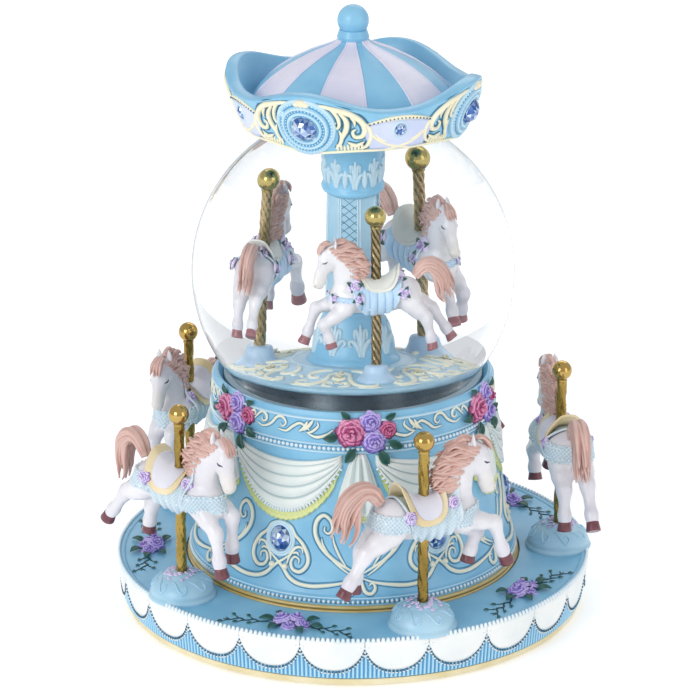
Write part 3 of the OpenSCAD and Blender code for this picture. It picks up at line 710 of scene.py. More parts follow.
u, v = np.linspace(-1, 1, 61), column(0, 1, 34)
edge_fall = np.clip((1 - np.abs(u)) * 9, 0, 1) ** 0.5
fold = np.abs(np.sin(np.pi * (v ** 0.85 * 4.6 + 0.35))) ** 0.7
belly = np.sin(np.pi * v ** 0.8) * 0.9
lift = 0.35 + edge_fall * (0.35 + 0.95 * fold * (0.5 + 0.5 * v) + belly * 0.8)
top_z = 60.6 + 3.0 * np.abs(u) ** 2.1
heights = top_z + (hem(u) - top_z) * v
comb_u = np.linspace(-0.97, 0.97, 41)
comb_turn = np.arctan2(np.gradient(hem(comb_u)), np.gradient(comb_u) * HALF * 0.8)
lace_u, lace_v = np.linspace(-0.96, 0.96, 177), column(0, 1, 6)
scallop = 0.55 * np.abs(np.sin(np.pi * (lace_u + 1) * 11.5))
pleat = 0.3 * np.abs(np.sin(np.pi * (lace_u + 1) * 34.5))
lace_drop = (2.9 + scallop) * np.clip((1 - np.abs(lace_u)) * 6, 0.3, 1)
lace_lift = 0.45 + pleat * (0.4 + 0.6 * lace_v) + 0.25 * lace_v
for k in range(6):
    middle = SWAG + PITCH * k
    b = middle + u * HALF + 0 * v
    swags.add(*slab(drum.at(b, heights, lift), drum.at(b, heights, -0.4)))
    drum.beads(combs, middle + comb_u * HALF, hem(comb_u) - 0.1, [[0.42, 0.78, 0.75]], 1.0, BEAD,
               comb_turn)
    b, z = middle + lace_u * HALF + 0 * lace_v, hem(lace_u) - lace_drop * lace_v
    fringes.add(*slab(drum.at(b, z, lace_lift), drum.at(b, z, -0.3)))
swags.make("drum_swags", "base", "cream_resin", "swag")
combs.make("drum_swag_combs", "base", "cream_resin", "bead")

# Pleated tails that hang under the clusters
tails = Cast()
s, t, e = row(-1, 1, 45), column(0, 1, 22), column(0, 1, 4)
waves = np.cos(s * np.pi * 3.1 + 0.5)
lift = 0.7 + 2.1 * np.sin(np.pi * (t * 0.62 + 0.1)) * (1 - s ** 2 * 0.75) \
    + waves * (0.35 + 0.65 * t) * (1 - 0.3 * np.abs(s))
low = 43.6 + 7.5 * np.abs(s) ** 1.4 + 0.9 * np.cos(s * np.pi * 3.1)
z = 64 + (low - 64) * t
frill_z = z[-1] + 0.2 - (1.7 + 0.25 * np.cos(np.arange(45) * 1.7)) * e
for k in range(6):
    b = SWAG + 30 + PITCH * k + np.degrees(s * (1.9 + 4.4 * t ** 0.85) / 44.8)
    tails.add(*slab(drum.at(b, z, lift), drum.at(b, z, -0.3)))
    edge = b[-1] + 0 * e
    fringes.add(*slab(drum.at(edge, frill_z, lift[-1] + 0.12),
                      drum.at(edge, frill_z, lift[-1] - 0.5)))
tails.make("drum_tails", "base", "cream_resin", "swag")
fringes.make("drum_fringe", "base", "cream_resin", "fringe")


def cut_stone(cast, centre, normal, wide, tall, turn=0.0, sides=10):
    """Faceted oval stone: table, crown facets and girdle"""
    points, k = [], np.arange(sides)
    for i, (r, z) in enumerate(((1.0, 0), (1.0, 0.12), (0.78, 0.42), (0.5, 0.62))):
        a = (k + 0.5 * (i % 2)) * TAU / sides
        points.append(np.stack([r * np.cos(a), r * np.sin(a), np.full(sides, z)], 1))
    points = np.vstack(points + [[[0, 0, 0.72]], [[0, 0, 0]]])
    faces = []
    for i in range(3):
        a, c = i * sides + k, (i + 1) * sides + k
        b, e = i * sides + (k + 1) % sides, (i + 1) * sides + (k + 1) % sides
        pair = ((a, b, c), (b, e, c)) if i % 2 == 0 else ((a, b, e), (a, e, c))
        faces.append(np.stack([np.stack(corner, 1) for corner in pair], 1).reshape(-1, 3))
    faces += [fan(3 * sides + k, 4 * sides), fan(k, 4 * sides + 1, flip=True)]
    spots = frames([centre], [normal], turn)
    scatter(cast, (points, faces), spots, [[wide, tall, min(wide, tall)]])


STONE_Z = 35.6
gems, settings = Cast(), Cast()
oval = np.radians(np.arange(0, 361, 6))
for k in range(6):
    b = SWAG + PITCH * k
    cut_stone(gems, drum.at(b, STONE_Z, 0.25), drum.normal(b, STONE_Z), 3.4, 4.05)
    for grow, width, lift in ((3.75, 0.42, 0.45), (4.5, 0.5, 0.25)):
        path_b = b + np.degrees(grow * np.cos(oval) / 47.4)
        path_z = STONE_Z + (grow + 0.65) * np.sin(oval)
        settings.add(*tube(drum.at(path_b, path_z, lift), width, width, 8,
                           drum.normal(path_b, path_z), ends=False))
gems.make("drum_stones", "base", "blue_stone", "stone", "drum_jewels", flat=True)
settings.make("drum_stone_settings", "base", "blue_resin", "relief_sky")


# Rose clusters on the rim of the drum
def cluster(surface, flowers, leaves, base_bearing, reach, casts):
    """Roses and leaves on a surface; each flower is (mm across, z, radius, cast, lift)"""
    for number, (across, z, size, which, lift) in enumerate(flowers):
        b = base_bearing + math.degrees(across / reach)
        spots = frames([surface.at(b, z, lift)], [surface.normal(b, z)], 1.3 * number)
        scatter(casts[which], ROSES[number % 3], spots, size)
    for across, z, size, turn, lift in leaves:
        b = base_bearing + math.degrees(across / reach)
        spots = frames([surface.at(b, z, lift)], [surface.normal(b, z)], math.radians(turn))
        scatter(casts["leaf"], LEAF, spots, size)


rim_roses = {name: Cast() for name in ("pink_rose", "magenta_rose", "lilac_rose", "leaf")}
rim_flowers = [(-4.9, 70.7, 4.8, "pink_rose", 0.5), (2.2, 67.9, 3.9, "lilac_rose", 0.7),
               (1.2, 74, 3.6, "lilac_rose", 0.3), (6.4, 71.2, 3, "magenta_rose", 0.3)]
rim_leaves = [(-8.4, 69.6, 4.8, 190, 0.5), (-3.6, 65.8, 5.2, 235, 0.7), (3.8, 65, 5.4, 300, 0.7),
              (6.6, 67.6, 4.8, 335, 0.5), (5.8, 74.6, 3.6, 30, 0.4), (-5, 75, 3.6, 140, 0.3)]
for k in range(6):
    cluster(drum, rim_flowers, rim_leaves, SWAG + 33 + PITCH * k, 44.3, rim_roses)
rim_roses["pink_rose"].make("rim_pink_roses", "base", "rose_resin", "pink_rose", "drum_roses")
rim_roses["magenta_rose"].make("rim_magenta_roses", "base", "rose_resin", "magenta_rose")
rim_roses["lilac_rose"].make("rim_lilac_roses", "base", "lilac_resin", "lilac_rose")
rim_roses["leaf"].make("rim_leaves", "base", "rose_resin", "leaf")

# ---------------------------------------------------------------- ring platform

skirt = turned([(72.95, 3.3), (74.1, 15.7)])
FLAPS, FLAP_PHASE, FLAP_TOP = 24, 2.7, 15.75
FLAP = 360 / FLAPS
FLUTES = 360

flutes = Cast()
heights = np.array([[3.25], [3.6], [5], [7], [9], [11], [13], [14.9], [15.4]])
depth = np.array([[0], [1], [1], [1], [1], [1], [1], [1], [0.2]])
a = bearings(24 * 96)
wave = np.cos(np.radians(a * FLUTES))
wave = 0.24 * np.sign(wave) * np.abs(wave) ** 0.6
flutes.add(skirt.at(a + 0 * depth, heights + 0 * a, 0.32 + wave * depth),
           quads(len(heights), len(a), wrap=True))
flutes.make("skirt_flutes", "outer_carousel", "blue_resin", "flute")



def scallop_edge(t, base):
    """Height of a flap's rounded lower edge, t from -1 to 1 across it"""
    return base - 8.6 * np.sqrt(np.clip(1 - np.abs(t) ** 2.3, 0, 1)) ** 1.15


# White scalloped flaps with a row of dark dots just inside each edge
flaps, dots, teeth = Cast(), Cast(), Cast()
t, v = row(-1, 1, 49), column(0, 1, 14)
z = FLAP_TOP + (scallop_edge(t, 14.6) - FLAP_TOP) * v
bulge = 0.75 + 0.28 * np.sin(np.pi * v) * (1 - np.abs(t) ** 4)
dot_line = np.stack([np.linspace(-7.1, 7.1, 60),
                     scallop_edge(np.linspace(-0.955, 0.955, 60), 14.3)], 1)
for k in range(FLAPS):
    joint = FLAP_PHASE + FLAP * k
    middle = joint + FLAP / 2
    b = middle + t * 7.45 + 0 * v
    flaps.add(*slab(skirt.at(b, z, bulge), skirt.at(b, z, 0.1)))
    spots = along((dot_line + [middle, 0]) * [1.29, 1], count=23) / [1.29, 1]
    skirt.beads(dots, spots[:, 0], spots[:, 1] - 0.15, [[0.3, 0.42, 0.3]], 0.82, SEED)
    skirt.beads(flaps, spots[:, 0], spots[:, 1] - 0.75, 0.36, 0.55, SEED)
    for across, high in ((0, 13.6), (0, 12.2), (0, 11), (-0.75, 12.9), (0.75, 12.9),
                         (-0.6, 11.6), (0.6, 11.6)):
        skirt.beads(flaps, [joint + across], [high], 0.42, 0.55, SEED)
    for across, high in ((-0.95, 13.9), (-1.235, 12.2), (0.95, 13.9), (1.235, 12.2)):
        skirt.beads(dots, [joint + across], [high], 0.3, 0.6, SEED)
skirt.beads(teeth, bearings(FLAPS * 13), 16.0, [[0.62, 0.95, 0.75]], 0.25)
flaps.make("skirt_flaps", "outer_carousel", "cream_resin", "flap")
dots.make("skirt_dots", "outer_carousel", "blue_resin", "dot")
teeth.make("skirt_teeth", "outer_carousel", "cream_resin", "bead")

TOP = 15.7
OUTER_PHASE, OUTER_R = 18.6, 65.5
rim = Cast().add(*lathe([(72.2, 15.5), (72.6, 15.95), (73.2, 16.15), (73.9, 16.0), (74.3, 15.5)],
                        256))
rim.make("platform_rim", "outer_carousel", "blue_resin", "sky")

mounts, mount_relief, mount_dots = Cast(), Cast(), Cast()
MOUNT = [(10.35, 0), (10.5, 0.5), (10.2, 1.1), (9.75, 1.5), (9.85, 1.9), (9.6, 2.9), (8.9, 4.3),
         (7.7, 5.6), (6.1, 6.6), (5.4, 6.75), (5, 7.15), (3.8, 7.6), (2, 7.85), (0.01, 7.9)]
MOUNT_TOP = ([0, 2, 3.8, 5, 6.1, 7.7, 8.9, 9.6, 10.2],
             [7.9, 7.85, 7.6, 7.05, 6.6, 5.6, 4.3, 2.9, 1.1])
SWIRL = [(6, -1.8), (7, -0.6), (8.4, 0.4), (9.1, 1.8), (8.3, 3), (7.3, 2.4), (7.6, 1.4)]
for k in range(5):
    bearing = OUTER_PHASE + 72 * k
    x, y = compass(bearing, OUTER_R)
    mounts.add(*lathe(MOUNT, 96), at=(x, y, TOP))
    plate = Flat(lambda r: TOP + np.interp(r, *MOUNT_TOP), x, y, math.radians(bearing))
    for j in range(8):
        plate.stroke(mount_relief, rotated(SWIRL, j * TAU / 8), 0.36, 0.4, 0.12, 0.4)
    for j in range(26):
        (c, s), r = cos_sin(j * 2.4), 2.7 + 1.5 * (j % 2) + 0.7 * (j % 3)
        spots = frames([plate.at(r * c, r * s, 0.3)], [(c * 0.5, s * 0.5, 1)], j * 2.4)
        scatter(mount_dots, SMALL_ROSES[j % 2], spots, 1.05 - 0.06 * r)
mounts.make("mount_domes", "outer_carousel", "blue_resin", "pale_sky", "pole_mounts")
mount_relief.make("mount_swirls", "outer_carousel", "blue_resin", "swirl")
mount_dots.make("mount_blossoms", "outer_carousel", "lilac_resin", "pale_lilac_rose")

# Rose clusters and painted twigs on the platform
petals, greenery, twigs = Cast(), Cast(), Cast()


def lay_leaf(plate, p, q, turn, size, lift, bend):
    """Leaf of that length lying on the plate, its stem at (p, q)"""
    c, s = cos_sin(turn)
    x, y, z = (LEAF[0] * size).T
    greenery.add(plate.at(p + c * x - s * y, q + s * x + c * y, lift + z * bend), LEAF[1])


for k in range(5):
    bearing = OUTER_PHASE + 36 + 72 * k
    plate = Flat(TOP, *compass(bearing, 64.2), math.radians(bearing))
    for n, (p, q, size, lift) in enumerate(((-2.4, 0.6, 3.7, 0.9), (1.8, 1.6, 3, 1.3),
                                            (4.6, -0.6, 2.7, 0.4), (0.6, -2.4, 2.6, 0.3))):
        spots = frames([plate.at(p, q, lift)], [plate.at(p, q, 10) - plate.at(0, 0, 2)], n * 1.1)
        scatter(petals, ROSES[n % 3], spots, size)
    for p, q, size, turn in ((-4.6, 0.2, 5, 185), (-2.6, -2.6, 4.4, 240), (3.2, -3, 4.6, 310),
                             (6.6, -0.6, 4.6, 350), (4.6, 2.4, 4.2, 35), (-3, 3.2, 4.2, 140)):
        lay_leaf(plate, p, q, math.radians(turn), size, 0.3, 1)
    for side in (-1, 1):
        stem = [(side * p, q) for p, q in ((6.5, 0), (9, -1.2), (11, -0.2), (13.4, -1.6),
                                           (15.6, -0.6), (18, -2.4), (20.4, -2.2))]
        plate.stroke(twigs, stem, 0.3, 0.22, 0.05, 0.5, 6, (0.6, 0.3))
        for n, (p, q) in enumerate(stem[1:-1]):
            for way in (-1, 1):
                tip = (p + side * 1.9, q + way * 1.5)
                plate.stroke(twigs, [(p, q), (p + side, q + way * 0.55), tip], 0.24, 0.2, 0.05,
                             0.5, 6, (0.6, 0.3))
                if (n + (way > 0)) % 2 == 0:
                    lay_leaf(plate, *tip, math.atan2(way * 1.2, side * 1.6), 1.9, 0.06, 0.8)
petals.make("platform_lilac_roses", "outer_carousel", "lilac_resin", "lilac_rose",
            "platform_roses")
greenery.make("platform_leaves", "outer_carousel", "lilac_resin", "leaf")
twigs.make("platform_twigs", "outer_carousel", "lilac_resin", "twig")

# ---------------------------------------------------------------- poles


def twisted(low, high, r, strands, pitch, depth, seed):
    """Rod cast like twisted cord, slightly uneven"""
    pick = np.random.RandomState(seed)
    sides, step = 40, 0.35
    z = np.linspace(low, high, int((high - low) / step))[:, None]
    a = np.arange(sides)[None, :] * TAU / sides
    r = r + depth * np.abs(np.cos(strands / 2 * (a + z * TAU / pitch))) ** 0.8 - depth * 0.5
    r = r + 0.035 * np.sin(a * 2 + z * pick.uniform(0.8, 1.4)) + 0.03 * np.sin(a * 5 - z * 2.3)
    points = np.stack([r * np.cos(a), r * np.sin(a), z + 0 * a], -1).reshape(-1, 3)
    return points, [quads(len(z), sides, wrap=True)]


def turned_ball(r, centre, stem):
    profile = [(stem, centre - r * 1.12), (stem + 0.35, centre - r * 1.05)]
    profile += [(r * math.cos(t), centre + r * math.sin(t))
                for t in np.linspace(-1.25, math.pi / 2 - 0.001, 26)]
    return lathe(profile, 64)


INNER_PHASE, INNER_R = 16.5, 21
# Each ring of poles: count, phase, radius, rod, seed of its first rod, ball, looks
POLES = {
    "outer": (5, OUTER_PHASE, OUTER_R, (22.6, 72.4, 1.52, 3, 26, 0.3), 0, (3.15, 74.7, 1.5),
              "gold", "gold_ball"),
    "inner": (3, INNER_PHASE, INNER_R, (88.6, 127.4, 1.16, 6, 15, 0.34), 9, (2.9, 129.3, 1.2),
              "old_gold", "old_ball"),
}
for ring, (count, phase, r, rod, seed, knob, rod_look, ball_look) in POLES.items():
    for k in range(count):
        place = (*compass(phase + 360 / count * k, r), 0)
        Cast().add(*twisted(*rod, seed + k), at=place).make(
            f"{ring}_pole_rod_{k + 1}", f"{ring}_carousel", "gold_metal", rod_look,
            f"{ring}_pole_{k + 1}")
        Cast().add(*turned_ball(*knob), at=place).make(
            f"{ring}_pole_ball_{k + 1}", f"{ring}_carousel", "gold_metal", ball_look)

# ---------------------------------------------------------------- turntable and column

FLOOR_Z = 83.3
deck = Flat(FLOOR_Z)
deck_relief, deck_lines = Cast(), Cast()
DOME = ([0, 11, 16, 21, 26, 29, 31], [3.6, 3.5, 2.9, 1.9, 0.7, 0.1, 0])


def domed(points):
    """Lifts points on the flat deck onto its low dome"""
    points[:, 2] += np.interp(np.hypot(points[:, 0], points[:, 1]), *DOME)
    return points


profile = [(0, 81), (30.2, 81), (30.8, 81.4), (31, 82.1), (30.8, 82.8), (30.1, 83.2)]
profile += [(r, FLOOR_Z + np.interp(r, *DOME)) for r in np.linspace(29.4, 0, 40)]
deck_floor = Cast().add(*lathe(profile, 160))
# One sixth of the scrollwork, from its middle line to one side
MOTIFS = paths("""
    0.68: 16.6 0.7, 18.6 2.6, 22 3.2, 25.2 5, 26.7 8, 25.8 10.6, 23.6 10.8, 22.8 9, 24 8;
    0.6: 28.4 0.7, 27.6 3, 25.4 3.2, 24.6 1.7, 25.6 1;
    0.6: 14.8 2.2, 15.8 5.6, 18.4 7.8, 20.8 7.2, 20.8 5.4, 19.4 5.2;
    0.45: 28.5 4.2, 28.6 7.6, 27.6 11.4, 25.6 13.2;
    0.5: 20.3 9.4, 18.6 10.2""")
for j in range(6):
    turn = math.radians(j * 60 + 20)
    for path, width in MOTIFS:
        for side in (-1, 1):
            here = rotated(path, turn, side)
            deck.stroke(deck_relief, here, width, width * 0.8, 0.05, 0.45)
            # Wider flat stroke under each scroll: painted shade beside it
            deck.stroke(deck_lines, here, width * 1.5, 0.14, 0.0, 0.7, 6, BLUNT)
    for r, size in ((21, 2.2), (17.2, 1.2), (24.2, 1)):
        place = deck.at(r * math.cos(turn), r * math.sin(turn))
        scatter(deck_relief, SMALL_ROSES[j % 2], frames([place], [(0, 0.01, 1)], turn), size)
for r, w in ((29.6, 0.5), (13.8, 0.45)):
    deck_lines.add(*lathe([(r - w, FLOOR_Z - 0.1), (r, FLOOR_Z + 0.3), (r + w, FLOOR_Z - 0.1)],
                          128))
for cast in (deck_relief, deck_lines):
    cast.points = [domed(points) for points in cast.points]
deck_relief.make("turntable_scrolls", "inner_carousel", "cream_resin", "cream")
stands = Cast()
STAND = [(0, 83.6), (5.4, 83.6), (5.3, 84.9), (4.6, 85.6), (3.7, 86.4), (3.2, 87.4), (3, 88.4),
         (2.7, 88.9), (1.5, 89.1), (0, 89.1)]
for k in range(3):
    stands.add(*lathe(STAND, 64), at=(*compass(INNER_PHASE + 120 * k, INNER_R), 0))
stands.make("turntable_mounts", "inner_carousel", "blue_resin", "mount")
deck_floor.make("turntable_disc", "inner_carousel", "blue_resin", "pale_sky", "turntable_floor")
deck_lines.make("turntable_shading", "inner_carousel", "blue_resin", "relief_sky")

# Column: lattice on every other face, leaves at its foot and its capital
COLUMN_R, COLUMN_TURN = 6.5 * math.cos(math.pi / 8), -9
LATTICE_STEP, LATTICE_RISE = 2.1, 3.1
lattice, foliage = Cast(), Cast()
corners = np.radians(COLUMN_TURN + 22.5 + 45 * np.arange(8))
corners = np.stack([np.sin(corners), -np.cos(corners)], 1)
shaft = [(*((p * (1 - share) + q * share) * r), z)
         for z, r in ((97, 6.5), (99.6, 6.5), (100, 6.35), (128.6, 6.35), (129, 6.5), (131, 6.5))
         for p, q in zip(corners, np.roll(corners, -1, 0)) for share in (0.06, 0.94)]
Cast().add(np.array(shaft), quads(6, 16, wrap=True)).make(
    "column_shaft", "inner_carousel", "blue_resin", "pale_sky", flat=True)
for j in range(8):
    c, s = cos_sin(math.radians(COLUMN_TURN + 45 * j))
    out = np.array([s, -c, 0])

    def strip(cast, first, last, count, width, height, sides):
        """Straight rod on this face between two points (mm across, height)"""
        ends = [out * (COLUMN_R - 0.15) + np.array([c * x, s * x, z]) for x, z in (first, last)]
        cast.add(*tube(np.linspace(*ends, count), width, height, sides, out))

    if j % 2 == 0:
        for low in np.arange(100.3, 128.7 - LATTICE_RISE, LATTICE_STEP):
            for way in (1.9, -1.9):
                strip(lattice, (way, low), (-way, low + LATTICE_RISE), 4, 0.1, 0.12, 6)
    for across in (-2.1, 2.1):
        strip(foliage, (across, 100), (across, 128.8), 12, 0.22, 0.3, 8)
    for high in (100, 128.8):
        strip(foliage, (-2.1, high), (2.1, high), 6, 0.22, 0.3, 8)
lattice.make("column_lattice", "inner_carousel", "blue_resin", "shade")

ends = Cast()
FOOT = [(0, 85), (10.4, 85), (10.7, 86.6), (10.5, 87.4), (9.9, 87.9), (9.5, 88.4), (9.1, 89.6),
        (8.5, 92), (7.9, 94.6), (7.3, 96.6), (6.9, 97.6), (7.2, 98.2), (7.3, 98.7), (6.9, 99.2),
        (0, 99.3)]
CAPITAL = [(0, 128.6), (6.8, 128.6), (7.5, 129.1), (7.8, 129.8), (7.5, 130.5), (7.1, 131),
           (7.15, 133), (7.3, 136), (7.8, 139.5), (8.5, 142.5), (9, 144), (9.4, 145), (9.6, 146.4),
           (9.7, 148.4), (0, 148.5)]
for profile in (FOOT, CAPITAL):
    ends.add(*lathe(profile, 96))
ends.make("column_ends", "inner_carousel", "blue_resin", "sky", "center_column")
foot_skin, capital_skin = turned(FOOT[4:11]), turned(CAPITAL[5:11])


def palmette(skin, bearing, low, tall, wide, r):
    """Upright leaf: a rib between two pairs of veins whose tips curl back down"""
    degree = 360 / (TAU * r)
    skin.stroke(foliage, [(bearing, low), (bearing, low + tall * 0.5), (bearing, low + tall)],
                0.62, 0.6, 0.05, 0.4)
    for share, rise, width in ((0.55, 0.84, 0.5), (1.0, 0.5, 0.62)):
        for side in (-1, 1):
            w, h = wide * share, tall * rise
            path = [(0.4, low), (w * 0.35, low + h * 0.45), (w * 0.75, low + h * 0.86),
                    (w * 1.15, low + h), (w * 1.45, low + h * 0.84), (w * 1.3, low + h * 0.66),
                    (w * 1.1, low + h * 0.7)]
            skin.stroke(foliage, [(bearing + side * x * degree, z) for x, z in path], width,
                        width, 0.05, 0.4)


for j in range(8):
    palmette(foot_skin, 45 * j + 13, 88.8, 7.8, 2.0, 8.5)
for j in range(9):
    palmette(capital_skin, 40 * j + 4, 131.4, 9.2, 1.55, 7.4)
    capital_skin.stroke(foliage, [(40 * j + 24, z) for z in (131.6, 134.4, 137.2)], 0.75, 0.7,
                        0.05, 0.4)
foliage.make("column_leaves", "inner_carousel", "blue_resin", "leafage")

# ---------------------------------------------------------------- liquid ball

BALL_R, BALL_Z = 50, 107.7
angles = np.linspace(math.radians(-43.8), math.pi / 2, 110)[:-1]
profile = [(0, 71.6), (33, 71.6), (33.2, 72.2),
           *((BALL_R * math.cos(t), BALL_Z + BALL_R * math.sin(t)) for t in angles),
           (0, BALL_Z + BALL_R)]
liquid = Cast().add(*lathe(profile, 256))
liquid.make("globe_liquid", "base", "clear_glass", "liquid", "glass_globe")

# ---------------------------------------------------------------- canopy

GEM = 67.5


def arch(b):
    """1 at a medallion, 0 halfway between two"""
    return (1 + np.cos(np.radians(4 * (np.asarray(b, float) - GEM)))) / 2


def crown_low(b):
    return 155.3 - 1.2 * arch(b) ** 3


def crown_top(b):
    return 167.2 + 5.3 * arch(b) ** 1.3


def crown_top_r(b):
    return 37.3 + 2.6 * arch(b)


CROWN_LOW_R = 33.6
crown = Surface(
    lambda b, z: CROWN_LOW_R + (crown_top_r(b) - CROWN_LOW_R)
    * (z - crown_low(b)) / (crown_top(b) - crown_low(b)),
    lambda b, z: (crown_top_r(b) - CROWN_LOW_R) / (crown_top(b) - crown_low(b)) + 0 * z)

b = bearings(360)
low, top, top_r, peak = crown_low(b), crown_top(b), crown_top_r(b), arch(b)
inner_r = top_r - 3.9
pocket_r, pocket_z = 31.6 + 0.6 * peak, 165.2 - 4 * peak ** 0.7
section = [(16.3, 155.2), (22, 155.2), (28, low + 0.4), (32, low), (33.1, low + 0.05),
           (CROWN_LOW_R + 0.1, low + 0.5)]
section += [(CROWN_LOW_R + (top_r - CROWN_LOW_R) * t, low + (top - low) * t)
            for t in np.linspace(0.1, 0.93, 9)]
section += [(top_r + 0.05, top - 0.45), (top_r - 0.1, top + 0.1), (top_r - 0.6, top + 0.45),
            (top_r - 1.6, top + 0.7), (top_r - 2.7, top + 0.85), (inner_r + 0.4, top + 0.8),
            (inner_r, top + 0.4)]
section += [(inner_r + (pocket_r - inner_r) * t ** 0.8, top + 0.2 + (pocket_z - top - 0.2) * t)
            for t in np.linspace(0.15, 1, 7)]
section += [(pocket_r - 1.4, pocket_z - 0.6), (pocket_r - 4, pocket_z - 0.4)]
a = np.radians(b)
wall = np.stack([np.stack([r * np.sin(a), -r * np.cos(a), z + 0 * b], -1) for r, z in section])
Cast().add(wall, quads(len(section), 360, wrap=True)).make(
    "canopy_crown", "base", "blue_resin", "sky", "canopy")

ROOF = [(31.4, 160.5), (31, 162), (30.4, 163.6), (29.6, 165.1), (28.4, 166.7), (26.8, 168.3),
        (24.8, 170.1), (22.4, 171.8), (19.6, 173.7), (16.6, 175.3), (13.6, 176.8), (11, 177.9),
        (8.6, 178.8), (6.5, 179.7), (5.2, 180.4), (4.4, 181.2)]
roof = turned(ROOF)
white, blue = Cast(), Cast()
ribs = np.array([z for _, z in ROOF])
ribs = np.interp(np.linspace(0, len(ribs) - 1, 46), np.arange(len(ribs)), ribs)
for k in range(12):
    start, colour, proud = -22 + 30 * k, (white, blue)[k % 2], (0.14, 0.0)[k % 2]
    s = row(0, 30, 17)
    colour.add(roof.at(start + s + 0 * ribs[:, None], ribs[:, None] + 0 * s,
                       0.1 * np.sin(np.pi * s / 30) + proud), quads(46, 17))
    line = ribs[6:]
    white.add(*tube(roof.at(start + 0 * line, line, 0.1), 0.34, 0.34 * 0.9, 8,
                    roof.normal(start + 0 * line, line)))
white.make("roof_white_panels", "base", "pearl_resin", "roof_white")
blue.make("roof_blue_panels", "base", "blue_resin", "sky")

discs, scrollwork, panels, tabs = Cast(), Cast(), Cast(), Cast()
crown_beads, crown_gems, crown_painted_shade = Cast(), Cast(), Cast()
MEDAL_Z, MM_DEG = 163.1, 360 / (TAU * 36.6)


def crown_path(path, middle, side=1):
    """Points in mm from the middle of a medallion or panel, as (bearing, z)"""
    spots = [(middle + side * x * MM_DEG, z) for x, z in path]
    return [(b, min(z, float(crown_top(b)) - 1.5)) for b, z in spots]


disc_r = np.array([0, 2, 4.1, 4.3, 4.7, 5.1, 5.5, 6.1, 6.4, 6.8, 7.2, 7.5, 7.8, 8.6, 9.1, 9.3, 9.4])
disc_h = np.array([1.2, 1.2, 1.2, 1.2, 1.75, 1.75, 1.2, 1.2, 1.65, 1.65, 1.2, 0.8, 0.8, 0.95, 0.9,
                   0.4, -0.6])
turn = np.radians(bearings(72))
FRAME_STROKES = paths("""
    0.62: 2.4 171.6, 5 171.5, 7.8 169.8, 9.8 167, 10.3 164.4, 9.6 163.2, 8.8 164.2, 9.4 165.2;
    0.95: 3.4 172.3, 7 171.6, 10.4 169.9, 13.4 168, 16.4 165.8, 17.8 163.2, 17.2 160.8, 15
      160.4, 14.2 162, 15.2 163;
    0.85: 10.2 168.6, 12.2 166, 12.4 163.4, 11.4 160.8, 10.2 158.4;
    0.62: 10.2 162.4, 10.9 160.2, 10.3 158, 8.9 156.4;
    0.5: 13.2 167.6, 14.6 165.6, 14.8 163.8;
    0.75: 16.8 165.6, 19 163.4, 19.8 160.6, 18.8 157.6, 16.6 156.4;
    0.6: 12.6 158.6, 15.4 157.6, 17.8 158.8""")
PANEL_STROKES = paths("""
    0.55: 10.8 164.2, 8.2 160.6, 4.4 158, 0 156.7, -5 155.8;
    0.4: 8.8 162.4, 5.6 159.4, 1.6 158.2""")


def panel_top(x):
    """Height of the line over a panel, x mm from its middle"""
    return 166 - 2 * (np.abs(x) / 11.2) ** 2


